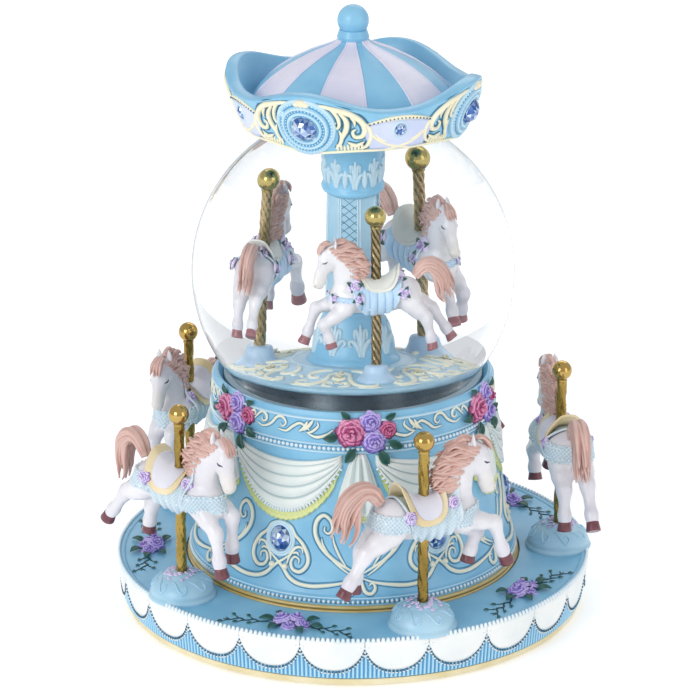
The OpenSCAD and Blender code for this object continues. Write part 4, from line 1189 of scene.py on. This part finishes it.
for k in range(4):
    middle = GEM + 90 * k
    r, t = np.meshgrid(disc_r, turn, indexing="ij")
    h = np.repeat(disc_h[:, None], len(turn), 1)
    discs.add(crown.at(middle + r * np.cos(t) * MM_DEG, MEDAL_Z + r * np.sin(t) * 0.97, h),
              quads(len(disc_r), len(turn), wrap=True))
    for r, count, size, lift in ((5.85, 36, 0.3, 1.2), (8.2, 48, 0.4, 0.85), (7.0, 42, 0.22, 1.6)):
        t = np.arange(count) * TAU / count
        crown.beads(discs, middle + r * np.cos(t) * MM_DEG, MEDAL_Z + r * np.sin(t) * 0.97, size,
                    lift, SEED)
    cut_stone(crown_gems, crown.at(middle, MEDAL_Z, 1.25), crown.normal(middle, MEDAL_Z), 3.95,
              3.95, 0.3, 14)
    for side in (-1, 1):
        for path, width in FRAME_STROKES:
            here = crown_path(path, middle, side)
            crown.stroke(scrollwork, here, width, width * 1.1, 0.1, 0.4)
            # Wider flat dark stroke under each scroll: painted shade beside it
            crown.stroke(crown_painted_shade, here, width * 1.7, 0.22, 0.0, 0.7, 6, BLUNT)
        for n, x in enumerate(np.arange(9.4, 18, 1.1)):
            high = 157.9 + 0.5 * math.sin(n * 2.1)
            crown.stroke(scrollwork, crown_path([(x, high), (x + 0.2, 155.6 + 0.1 * n * 0.4)],
                                                 middle, side), 0.42, 0.4, 0.1, 0.4, 6)
    for dx, dz, size in ((0, 171, 1.7), (-1.3, 170.8, 1.25), (1.3, 170.8, 1.25)):
        crown.beads(tabs, [middle + dx * MM_DEG], [dz], [[size, size * 0.8, 1.1]], 0.6)
    # Panel between two medallions
    valley = middle + 45
    x, v = row(-1, 1, 31), column(0, 1, 9)
    floor_line = 155.9 + 0.4 * np.abs(x) ** 1.6
    z = floor_line + (165.4 - 1.9 * x ** 2 - floor_line) * v
    b = valley + x * (9 + 3 * v) * MM_DEG
    puff = 0.45 + 0.25 * np.sin(np.pi * v) * (1 - x ** 2)
    panels.add(*slab(crown.at(b, z, puff), crown.at(b, z, -0.2)))
    x = np.linspace(-10.6, 10.6, 40)
    crown.stroke(scrollwork, list(zip(valley + x * MM_DEG, panel_top(x))), 0.75, 0.6, 0.1, 0.5)
    x = np.linspace(-9.6, 9.6, 17)
    crown.beads(crown_beads, valley + x * MM_DEG, panel_top(x), 0.3, 0.62, SEED)
    for side in (-1, 1):
        for path, width in PANEL_STROKES:
            crown.stroke(scrollwork, crown_path(path, valley, side), width, width, 0.3, 0.4)
    cut_stone(crown_gems, crown.at(valley, 162.2, 0.5), crown.normal(valley, 162.2), 1.75, 2.1,
              0.2, 10)
    t = np.radians(np.arange(0, 361, 12))
    crown_set = crown.at(valley + 2.25 * np.cos(t) * MM_DEG, 162.2 + 2.6 * np.sin(t), 0.55)
    discs.add(*tube(crown_set, 0.35, 0.35, 8, crown.normal(valley, 162.2), ends=False))
b = np.arange(361)
scrollwork.add(*tube(crown.at(b, crown_low(b) + 0.45, 0.05), 0.45, 0.45, 8,
                     crown.normal(b, 156 + 0 * b), ends=False))
discs.make("canopy_medallions", "base", "blue_resin", "relief_sky")
scrollwork.make("canopy_scrolls", "base", "cream_resin", "crown_cream")
crown_painted_shade.make("canopy_scroll_shading", "base", "blue_resin", "shade")
panels.make("canopy_panels", "base", "pearl_resin", "lilac_panel")
tabs.make("canopy_tabs", "base", "cream_resin", "tab")
crown_beads.make("canopy_dots", "base", "blue_resin", "dot")
crown_gems.make("canopy_stones", "base", "blue_stone", "stone", "canopy_large_jewels",
                "canopy_small_jewels", flat=True)

# ---------------------------------------------------------------- horses

MELT = 0.5     # how far the bones' surfaces run into each other, in mm


def near(points, bones):
    """Smooth distance to tapered bones, and its direction"""
    total, way = 0.0, 0.0
    for a, b, ra, rb, thin in bones:
        scale = np.array([1, thin, 1])
        p, a, b = points / scale, np.array(a) / scale, np.array(b) / scale
        ab = b - a
        t = np.clip((p - a) @ ab / max(ab @ ab, 1e-9), 0, 1)
        off = p - a - t[..., None] * ab
        gone = np.linalg.norm(off, axis=-1)
        share = np.exp(-np.clip((gone - (ra + (rb - ra) * t)) * thin, -8, 60) / MELT)
        total = total + share
        way = way + share[..., None] * off / np.maximum(gone, 1e-6)[..., None] / scale
    return -MELT * np.log(total + 1e-30), way / (total + 1e-30)[..., None]


def chain(nodes, thin):
    return [(a[:3], b[:3], a[3], b[3], thin) for a, b in zip(nodes, nodes[1:])]


def leg(nodes):
    """Shoulder or hip, knee, end: adds the fetlock and a fuller joint"""
    top, knee, end = np.array(nodes, float)
    mid = (top + knee) / 2
    mid[3] *= 1.04
    way = end[:3] - knee[:3]
    shin, ankle, pastern, stop = (knee[:3] + way * share for share in (0.12, 0.74, 0.8, 0.98))
    bones = chain([[*top[:3], top[3] - 0.2], mid], 1) + chain([mid, knee], 1)
    bones += [(knee[:3], shin, knee[3] + 0.1, knee[3] - 0.1, 1),
              (shin, ankle, knee[3] - 0.2, 1.6, 1), (ankle, pastern, 1.86, 1.8, 1),
              (ankle, stop, 1.65, 1.75, 1)]
    return bones, (stop, unit(way))


# The two casts: bones as (x, y, z, radius); the mane's, forelock's and tail's lines as (x, z)
KICKING = dict(
    torso=[(-11, 0, 51.5, 6.0), (-4, 0, 50.6, 5.7), (3, 0, 50.2, 5.7), (10, 0, 51, 6.0)],
    neck=[(10, 0, 54, 5.2), (11.2, 0, 60, 4.4), (13.6, 0, 65, 3.6), (16.6, 0, 68.2, 2.9)],
    head=[(17, 0, 67.4, 3.1), (19.4, 0, 63.4, 2.7), (20.9, 0, 59.4, 2.0), (21.4, 0, 57, 1.9)],
    cheek=(18.2, 64.4, 2.9), brow=(19.7, 67.6, 2.0), chin=(20.5, 56.4, 1.2),
    ears=(16.4, 1.5, 71.2), eye=(20.2, 64.6), nostril=(22.6, 56.9),
    legs=[[(12, -3.5, 48.5, 3), (18.8, -3.5, 42.4, 2), (20.8, -3.5, 30.6, 1.7)],
          [(12, 3.5, 49, 3), (19, 3.5, 46, 2), (18.6, 3.5, 33, 1.7)],
          [(-13, -3.2, 48.5, 3.9), (-20, -3.4, 45.6, 2.2), (-28.4, -3.6, 35.2, 1.8)],
          [(-12, 3.2, 47.5, 3.7), (-16.3, 3.4, 40, 2.2), (-18.1, 3.6, 32.6, 1.8)]],
    mane=([(19.2, 70), (17, 67.6), (14.2, 65.4), (11.4, 62.4), (10.2, 59.4), (8.2, 57.4)],
          [(13.4, 72.6), (9, 70.8), (5.8, 67.6), (3.6, 64.2), (2.8, 60.8), (4.4, 57.6)]),
    forelock=[(18, 71.6), (20, 71.4), (22, 69.4), (23, 66.8)],
    tail=[(-14.4, 57.4), (-17, 61.6), (-20.4, 63), (-23.6, 60.6), (-25, 56), (-25, 51.6),
          (-25.6, 47.8)],
    tail_width=(2, 6.2))
GALLOPING = dict(
    torso=[(-11, 0, 52, 6.1), (-4, 0, 50.8, 5.7), (3, 0, 50.2, 5.7), (11, 0, 50.6, 6.0)],
    neck=[(11, 0, 53.4, 5.3), (11.4, 0, 60, 4.5), (13, 0, 65.4, 3.7), (16, 0, 69, 2.9)],
    head=[(16.4, 0, 68.6, 3.2), (19.2, 0, 64.6, 2.8), (21.4, 0, 60, 2.05), (22.4, 0, 56.6, 1.95)],
    cheek=(17.4, 65.2, 3.0), brow=(19.6, 68.4, 2.1), chin=(21.4, 55.8, 1.25),
    ears=(15.9, 1.5, 72.2), eye=(20.2, 65.6), nostril=(23.7, 56.6),
    legs=[[(13, -3.5, 48.5, 3), (22.5, -3.5, 46, 2), (26.4, -3.5, 34, 1.7)],
          [(12, 3.5, 46.5, 3), (20.6, 3.5, 41, 2), (17.8, 3.5, 33.5, 1.7)],
          [(-13, -3.2, 49, 3.9), (-21, -3.4, 44.6, 2.2), (-28.5, -3.6, 33.5, 1.8)],
          [(-13, 3.2, 48, 3.9), (-19, 3.4, 42.5, 2.2), (-21.5, 3.6, 31.5, 1.8)]],
    mane=([(18.6, 71), (16.8, 68.4), (14, 66.2), (11.2, 63.2), (10.2, 60), (8.2, 57.8)],
          [(12.8, 73.2), (8.4, 71.4), (5.4, 68.2), (3.4, 64.8), (2.6, 61.2), (4.6, 57.8)]),
    forelock=[(17.6, 72.8), (19.6, 72.8), (21.6, 71), (22.8, 68.4)],
    tail=[(-15, 58.2), (-18, 61.8), (-21.4, 62.4), (-25, 59.6), (-26.6, 55.6), (-27.2, 51.6),
          (-28.8, 48.4)],
    tail_width=(2.4, 10))


def horse_bones(plan):
    """Bones of head, neck and body, bones of the whole horse, and where its hooves go"""
    trunk = chain(plan["torso"], 0.94) + chain(plan["neck"], 0.72) + chain(plan["head"], 0.78)
    for name, dx, dz, dr, thin in (("cheek", 0.6, -0.8, -0.3, 0.74), ("brow", 0.5, -1.6, 0, 0.9),
                                   ("chin", -0.7, 2.2, 0.3, 0.85)):
        x, z, r = plan[name]
        trunk.append(((x, 0, z), (x + dx, 0, z + dz), r, r + dr, thin))
    (ex, ez), (nx, nz) = plan["eye"], plan["nostril"]
    for side in (-1, 1):     # shoulder, haunch, nostril and brow of each side
        for a, b, ra, rb in (((9.6, 2.7, 50.6), (12.2, 2.3, 47.6), 4.3, 3.6),
                             ((-10.6, 2.5, 52), (-13, 2.7, 49), 4.9, 4.2),
                             ((nx - 0.7, 0.95, nz), (nx - 0.9, 1.0, nz - 0.5), 0.8, 0.8),
                             ((ex - 0.3, 1.75, ez + 0.5), (ex + 0.3, 1.6, ez - 0.3), 0.85, 0.8)):
            trunk.append((np.multiply(a, [1, side, 1]), np.multiply(b, [1, side, 1]), ra, rb, 1))
    trunk.append(((13.6, 0, 51.2), (15.2, 0, 48.6), 4.0, 3.4, 0.9))
    limbs, hooves = zip(*map(leg, plan["legs"]))
    return trunk, trunk + [bone for limb in limbs for bone in limb], hooves


def skin(bones, cell):
    """Closed mesh over the bones: voxel hull, then drawn onto the smooth surface"""
    rough = Cast()
    for a, b, ra, rb, thin in bones:
        rough.add(*tube(np.linspace(a, b, 5), np.linspace(ra, rb, 5), sides=14))
        for centre, r in ((a, ra), (b, rb)):
            ball, rings = lathe([(max(r * math.sin(t), 1e-3), -r * math.cos(t))
                                 for t in np.linspace(0, math.pi, 9)], 14)
            rough.add(ball * [1, thin, 1], rings, at=centre)
    mesh = rough.mesh("rough")
    work = bpy.data.objects.new("rough", mesh)
    scene.collection.objects.link(work)
    hull = work.modifiers.new("hull", "REMESH")
    hull.mode, hull.voxel_size = "VOXEL", cell
    done = bpy.data.meshes.new_from_object(
        work.evaluated_get(bpy.context.evaluated_depsgraph_get()))
    points = np.empty(len(done.vertices) * 3)
    done.vertices.foreach_get("co", points)
    points = points.reshape(-1, 3)
    faces = [[list(f.vertices) for f in done.polygons if len(f.vertices) == n] for n in (4, 3)]
    edges = np.array([list(e.vertices) for e in done.edges])
    bpy.data.objects.remove(work)
    bpy.data.meshes.remove(mesh)
    bpy.data.meshes.remove(done)
    for turn in range(14):
        gap, way = near(points, bones)
        points = points - way * (np.clip(gap, -0.6, 0.6) / np.maximum(
            np.sum(way * way, 1), 0.3))[:, None]
        if turn in (3, 6, 9, 11):     # even out the spacing between draws
            total, count = np.zeros_like(points), np.zeros(len(points))
            for i, j in ((0, 1), (1, 0)):
                np.add.at(total, edges[:, i], points[edges[:, j]])
                np.add.at(count, edges[:, i], 1)
            points = points * 0.5 + total / np.maximum(count, 1)[:, None] * 0.5
    return points, [np.array(block) for block in faces if block]


def side_of(trunk, x, z, side, lift):
    """Points on the flank at (x, z): how far out the body is there, plus lift"""
    x, z = np.broadcast_arrays(np.asarray(x, float), np.asarray(z, float))
    y = np.linspace(0, 11, 45)
    points = np.stack(np.broadcast_arrays(x[..., None], side * y, z[..., None]), -1)
    inside = near(points, trunk)[0] < 0
    reach = np.where(inside.any(-1), y[len(y) - 1 - np.argmax(inside[..., ::-1], -1)], 0)
    return np.stack([x, side * (reach + lift), z], -1)


def reach_of(trunk, origin, ways):
    """How far out from origin along ways the body reaches"""
    r = np.linspace(0, 13, 90)
    gap = near(origin[..., None, :] + ways[..., None, :] * r[:, None], trunk)[0]
    last = np.minimum(len(r) - 1 - np.argmax(gap[..., ::-1] < 0, -1), len(r) - 2)
    a, c = (np.take_along_axis(gap, last[..., None] + k, -1)[..., 0] for k in (0, 1))
    return r[last] + r[1] * np.clip(-a / np.maximum(c - a, 1e-6), 0, 1)


def lock(path, r, count=22, flat=0.8):
    """One carved lock of hair, ridged along its length and drawn to a tip"""
    path = along(path, count=count)
    t = np.linspace(0, 1, count)
    width = r * np.minimum(1, 0.5 + t / 0.3) * np.clip((1.03 - t) / 0.45, 0.1, 1) ** 0.7
    points, faces = tube(path, width, width * flat, 12)
    ring = points[:-2].reshape(count, 12, 3) - path[:, None]
    ridges = 1 + 0.15 * np.cos(3 * np.arange(12) * TAU / 12 + t[:, None] * 2.5)
    ring = path[:, None] + ring * ridges[..., None]
    return np.vstack([ring.reshape(-1, 3), points[-2:]]), faces


def mane(plan, trunk, cast):
    """Mane swept back over the neck in curling rows, and the locks along its crest"""
    root, edge = [along(line, count=41) for line in plan["mane"]]
    pick = np.random.RandomState(4)
    steps = np.linspace(0, 1, 9)
    # Each row: where it starts across the mane, locks, lift, thickness, how far it goes
    rows = ((0.0, 12, 0.35, 1.0, 1.0), (0.24, 11, 0.75, 0.95, 1.08), (0.5, 10, 0.95, 0.9, 1.14))
    for side in (-1, 1):
        for start, count, lift, r, stop in rows:
            for i in range(count):
                t = (i + 0.5 + pick.uniform(-0.2, 0.2)) / count
                a, b = root[int(t * 40)], edge[min(40, int((t + 0.2) * 40))]
                a = a + (b - a) * start
                reach = (b - a) * (stop - start * 0.1) / (1 - start * 0.1)
                flow = unit(reach)
                wave = np.sin(steps * (5.6 - 2.6 * start) + i * 2.2 + start * 5)
                wave = wave * (0.25 + 0.7 * steps) + 0.7 * steps * (1 - steps)
                x, z = (a + reach * steps[:, None] + wave[:, None] * [-flow[1], flow[0]]).T
                z = z + 0.5 * np.sin(steps * math.pi)
                body = np.abs(side_of(trunk, x, z, side, 0)[:, 1])
                crest = 1.1 + 0.5 * math.sin(i * 1.7)
                y = np.sqrt(body ** 2 + crest ** 2) - crest * 0.5 + lift
                y = np.convolve(np.pad(y, 1, "edge"), [0.25, 0.5, 0.25], "valid")
                cast.add(*lock(np.stack([x, side * y, z], 1), r))
    for i in range(7):
        at, y = int(i / 6.5 * 38), 0.4 * (-1) ** i
        a = edge[at] + (root[at] - edge[at]) * 0.45
        b = edge[min(40, at + 5)]
        x, z = (a + b) / 2
        cast.add(*lock([(a[0] + 1, y, a[1] + 0.4), (x, 0, z + 1.2), (b[0] - 0.2, -y, b[1])], 1.3))


def hair(plan, trunk):
    """Mane, forelock and tail"""
    cast = Cast()
    mane(plan, trunk, cast)
    for n, y in enumerate((-1.1, -0.35, 0.4, 1.1)):
        cast.add(*lock([(x, y * (0.7 + 0.25 * m) + 0.2 * math.sin(m * 2 + n), z - 0.3 * (n % 2))
                        for m, (x, z) in enumerate(plan["forelock"])], 0.85))
    spine = along(plan["tail"], count=13)
    way = unit(np.gradient(spine, axis=0))
    across = np.stack([way[:, 1], -way[:, 0]], 1)
    grow = np.linspace(0, 1, 13)
    first, last = plan["tail_width"]
    wide = first + (last - first) * grow ** 1.3
    for layer, (depth, count, r) in enumerate(((-1.0, 6, 1.3), (1.0, 6, 1.3), (0.0, 7, 1.2))):
        for i in range(count):
            w = (i + 0.5) / count - 0.5
            curl = np.sin(grow * 7 + i * 1.1 + layer) * grow * 0.75
            x, z = (spine + across * (w * wide + curl)[:, None]).T
            y = depth * (0.9 + 0.7 * grow) + 0.3 * np.sin(grow * 6 + i * 1.9 + layer)
            path = np.stack([x, y, z], 1)[:13 - (i * 2 + layer) % 3]
            path[-1] += [1.8 * (w + 0.05), 0, 0.5 * abs(w)]
            cast.add(*lock(path, r, 34, 0.85))
    return cast


def finer(times, *grids):
    """Grids of points or numbers at more, evenly spaced places between the old ones"""
    for grid in grids:
        for axis in (0, 1):
            n = grid.shape[axis]
            place = np.linspace(0, n - 1, (n - 1) * times + 1)
            low = np.minimum(place.astype(int), n - 2)
            share = (place - low).reshape((-1,) + (1,) * (grid.ndim - 1))
            moved = np.moveaxis(grid, axis, 0)
            grid = np.moveaxis(moved[low] * (1 - share) + moved[low + 1] * share, 0, axis)
        yield grid


BACK_Z = 51.0     # height of the line that saddle and blanket are wrapped about


def saddle_rise(x, a):
    """How far pommel and cantle stand up"""
    return (3.9 * np.clip((-x - 2.6) / 6.2, 0, 1) ** 1.4
            + 1.6 * np.clip((x - 2.6) / 3.4, 0, 1) ** 2) * np.clip(1.3 - a, 0, 1)


def horse_tack(trunk, inner):
    """Blanket, trim, seat and straps laid on the horse"""
    parts = {name: Cast() for name in ("blanket", "trim", "seat", "lace_dots")}

    def lay(name, times, origin, ways, lift, height, thick, rise=0.0):
        """Sheet on the body, height (on the fine grid) above lift"""
        reach, origin, ways = finer(times, reach_of(trunk, origin, ways), origin, ways)
        ways = unit(ways)
        front = origin + ways * (reach + lift + height)[..., None]
        front[..., 2] += rise
        parts[name].add(*slab(front, front - ways * thick))
        return front

    def over_back(name, middle, half, reach, lift, thick, corner, saddle=True):
        """Sheet across the back: half its length in mm, and its reach down the sides in degrees"""
        times = 3 if saddle else 4
        s, a = row(-1, 1, 17), column(-1, 1, 41)
        x = middle + s * (half * np.clip(1 - np.abs(a) ** corner, 0.004, 1) ** 0.42)
        angle = np.radians(reach) * a + 0 * s
        ways = np.stack([0 * angle, np.sin(angle), np.cos(angle)], -1)
        origin = np.stack([x, 0 * x, BACK_Z + 0 * x], -1)
        s, a, x, angle = finer(times, s + 0 * angle, a + 0 * s, x, angle)
        edge = np.maximum(np.abs(a) ** 5, np.abs(s) ** 7)
        height = 0.25 * edge
        if saddle:
            return lay(name, times, origin, ways, lift, height, thick,
                       saddle_rise(x, np.abs(angle)))
        if inner:     # pleats
            height = height + 0.5 * np.abs(np.sin(x * 1.05)) * np.clip(np.abs(a) * 2.2 - 0.3, 0, 1)
        else:         # lace with a frilled edge
            height = height + 0.5 * edge ** 0.6 * np.sin(x * 2.1 + 1) * np.clip(np.abs(a) * 3, 0, 1)
            height = height + 0.1 * np.sin(x * 5.1) * np.sin(angle * 33) * (1 - edge)
        return lay(name, times, origin, ways, lift, height, thick)

    over_back("blanket", 0.2, 9.8, 154, 0.75, 0.7, 2.4, saddle=False)
    over_back("trim", -1.5, 7.6, 66 if inner else 94, 1.25, 0.8, 2.6)
    over_back("seat", -1.3, 6.4 if inner else 5.4, 56 if inner else 78, 1.7, 0.7, 2.6)
    # Straps about the chest and the rump: heights, middle, first and last angle
    straps = ((50.2, 52.2, 8.5, -103, 103),) if inner else (
        (47.8, 53.2, 8.5, -103, 103), (50.2, 55.4, -8.5, 77, 283))
    for low, high, middle, first, last in straps:
        s, v = row(0, 1, 45), column(0, 1, 7)
        angle = np.radians(first + (last - first) * s) + 0 * v
        ways = np.stack([np.cos(angle), np.sin(angle), 0 * angle], -1)
        z = low + (high - low) * v + 0.3 * np.sin(angle * 22) * (v - 0.5)
        origin = np.stack([middle + 0 * angle, 0 * angle, z], -1)
        v, angle = finer(4, v + 0 * angle, angle)
        height = 0.35 * np.abs(2 * v - 1) ** 4 * (1 + np.sin(angle * 30)) \
            + 0.1 * np.sin(angle * 42) * np.sin(v * 25)
        front = lay("blanket", 4, origin, ways, 0.55, height, 0.6)
        for line in () if inner else (5, 19):
            spots = along(front[line], step=1.15)
            scatter(parts["lace_dots"], BEAD, frames(spots, (spots - [middle, 0, 0]) * [1, 1, 0]),
                    0.27)
    return parts


# Each ring of horses: size, height of its feet, radius, bearing of the first, step, yaw
STANDS = {"outer": (1.0, 0.0, OUTER_R, OUTER_PHASE, 72, 10),
          "inner": (0.68, 88.5 - 23.1 * 0.68, INNER_R, INNER_PHASE, 120, 170)}


def turn_z(points, degrees):
    (c, s), (x, y, z) = cos_sin(math.radians(degrees)), points.T
    return np.stack([c * x - s * y, s * x + c * y, z], 1)


def stand(source, target, ring, k):
    """Adds a horse's part to target, in its place as horse k of its ring"""
    size, rise, r, phase, step, yaw = STANDS[ring]
    points = turn_z(np.concatenate(source.points) * size, yaw) + [0, -r, rise]
    target.add(turn_z(points, phase + step * k), source.faces, np.concatenate(source.tints))


ROSE_SPOTS = {False: ((7.9, 55.2, 2.5), (-8.4, 54.2, 2.4)),
              True: ((8.6, 55.8, 3.5), (7.4, 51.6, 2.8), (-8.4, 57.6, 3.3), (-10.6, 53.8, 2.9),
                     (16.4, 51.4, 2.2))}


def horse_casts(plan, drawn_in, inner, cell):
    """All the pieces of one horse, in its own coordinates; drawn_in keeps the tail close"""
    if drawn_in:
        (x0, z0), tail = plan["tail"][0], plan["tail"]
        tail = [(x0 + (x - x0) * 0.45, z0 + min(z - z0, 0.3)) for x, z in tail]
        plan = dict(plan, tail=tail, tail_width=(1.6, 3))
    trunk, bones, hooves = horse_bones(plan)
    casts = {name: Cast() for name in ("body", "hoof", "eye", "rose", "leaf", "nostril")}
    points, faces = skin(bones, cell)
    (ex, ez), (nx, nz), (x, y, z) = plan["eye"], plan["nostril"], plan["ears"]
    # Warmer muzzle; painted shade on the belly and legs, darker towards the bottom
    muzzle = np.clip(1 - np.linalg.norm(points - [nx, 0, nz], axis=1) / 9, 0, 1)[:, None] ** 1.2
    belly = np.clip((47 - points[:, 2:]) / 12, 0, 1)
    tint = 1 - muzzle * np.array([[0.02, 0.05, 0.17]]) - belly * np.array([[0.04, 0.045, 0.02]])
    casts["body"].add(points, faces, tint)
    for side in (-1, 1):
        ear = [(x + 0.3, side * y, z - 1.6), (x, side * (y + 0.3), z + 0.6),
               (x + 0.1, side * (y + 0.1), z + 2.6)]
        casts["body"].add(*tube(along(ear, count=8), [1.0, 1.15, 1.2, 1.1, 0.95, 0.7, 0.42, 0.12],
                                [0.6, 0.6, 0.6, 0.55, 0.45, 0.35, 0.22, 0.1], 10, (0.7, 0, 0.2)))
        lid = side_of(trunk, [ex - 1.1, ex - 0.2, ex + 0.9], [ez + 0.45, ez - 0.25, ez - 0.35],
                      side, 0.02)
        lash = side_of(trunk, [ex + 0.7, ex + 1.0], [ez - 0.25, ez - 0.6], side, 0.05)
        hole = side_of(trunk, [nx - 0.55, nx - 0.2], [nz - 0.1, nz - 0.5], side, -0.12)
        casts["eye"].add(*tube(along(lid, count=8), taper(8, 0.42), taper(8, 0.3), 6))
        casts["eye"].add(*tube(along(lash, count=4), 0.12, 0.12, 6))
        casts["nostril"].add(*tube(along(hole, count=5), 0.2, 0.2, 6))
    for stop, way in hooves:
        path = stop + way * np.array([[-1], [-0.7], [0.2], [1.4], [2.3], [2.45]]) \
            + np.array([0.35, 0, 0.035]) * np.array([[0], [0], [0.2], [0.7], [1], [1]])
        casts["hoof"].add(*tube(path, [1.4, 2.0, 2.05, 2.25, 2.35, 2.0], sides=18, up=(0, 1, 0)))
    casts["mane"] = hair(plan, trunk)
    casts.update(horse_tack(trunk, inner))
    for n, (x, z, size) in enumerate(ROSE_SPOTS[inner]):
        for side in (-1, 1):
            spot, out = [side_of(trunk, x, z, side, 0.8)], [(0.1, side, 0.25)]
            scatter(casts["rose"], SMALL_ROSES[n % 2] if inner else ROSES[n % 3],
                    frames(spot, out, n * 1.7 + side), size)
            for turn in (0.4, 2.6, 4.4) if inner else ():
                scatter(casts["leaf"], LEAF, frames(spot, out, turn + n), size * 1.05)
    return casts


# The horses of each ring in order: their cast, and whether the tail is drawn in
HERDS = {"outer": ((GALLOPING, False), (GALLOPING, False), (GALLOPING, True), (KICKING, True),
                   (KICKING, False)),
         "inner": ((GALLOPING, False),) * 3}
# Parts shared by a ring: name, piece, slot, look in the outer ring and in the inner one
SHARED = (("hoof", "hooves", "rose_resin", "hoof", "rose_hoof"),
          ("eye", "eyes", "rose_resin", "eye", "eye"),
          ("nostril", "nostrils", "rose_resin", "nostril", "nostril"),
          ("trim", "saddle_trims", "cream_resin", "saddle_trim", "saddle_white"),
          ("seat", "saddle_seats", "pearl_resin", "saddle", "saddle_white"),
          ("rose", "horse_roses", "lilac_resin", "pale_lilac_rose", "pale_lilac_rose"),
          ("leaf", "horse_leaves", "lilac_resin", "leaf", "leaf"),
          ("lace_dots", "lace_dots", "cream_resin", "bead", "bead"))
for ring, herd in HERDS.items():
    inner = ring == "inner"
    shapes = []
    for k, kind in enumerate(herd):
        same = [shapes[i] for i in range(k) if herd[i] == kind]
        shapes.append(same[0] if same else horse_casts(*kind, inner, 0.5))
        for name, look, slot in (("body", "horse", "pearl_resin"), ("mane", "mane", "rose_resin"),
                                 ("blanket", "cloth" if inner else "lace", "blue_resin")):
            one = Cast()
            stand(shapes[k][name], one, ring, k)
            one.make(f"{ring}_horse_{name}_{k + 1}", f"{ring}_carousel", slot, look,
                     *([f"{ring}_horse_{k + 1}"] if name == "body" else []))
    for name, piece, slot, *looks in SHARED:
        shared = Cast()
        for k, shape in enumerate(shapes):
            if shape[name].count:
                stand(shape[name], shared, ring, k)
        if shared.count:
            shared.make(f"{ring}_{piece}", f"{ring}_carousel", slot, looks[inner])

# ---------------------------------------------------------------- CAD parts that stay

SLOT_LOOKS = {"cream_resin": "cream_band", "blue_resin": "sky", "pearl_resin": "horse",
              "rose_resin": "pink_rose", "lilac_resin": "lilac_rose", "gold_metal": "gold",
              "brass": "brass", "steel": "steel", "spring_steel": "spring", "nylon": "nylon",
              "magnet": "magnet", "felt": "felt", "rubber": "rubber", "clear_glass": "liquid",
              "blue_stone": "stone"}
for name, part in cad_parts.items():
    for entry in part.material_slots:
        entry.material = MATS[SLOT_LOOKS[entry.material.name.split(".")[0]]]
for name, look in (("turntable_floor", "pale_sky"), ("center_column", "pale_sky"),
                   ("follower_magnet", "rotor")):
    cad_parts[name].material_slots[0].material = MATS[look]
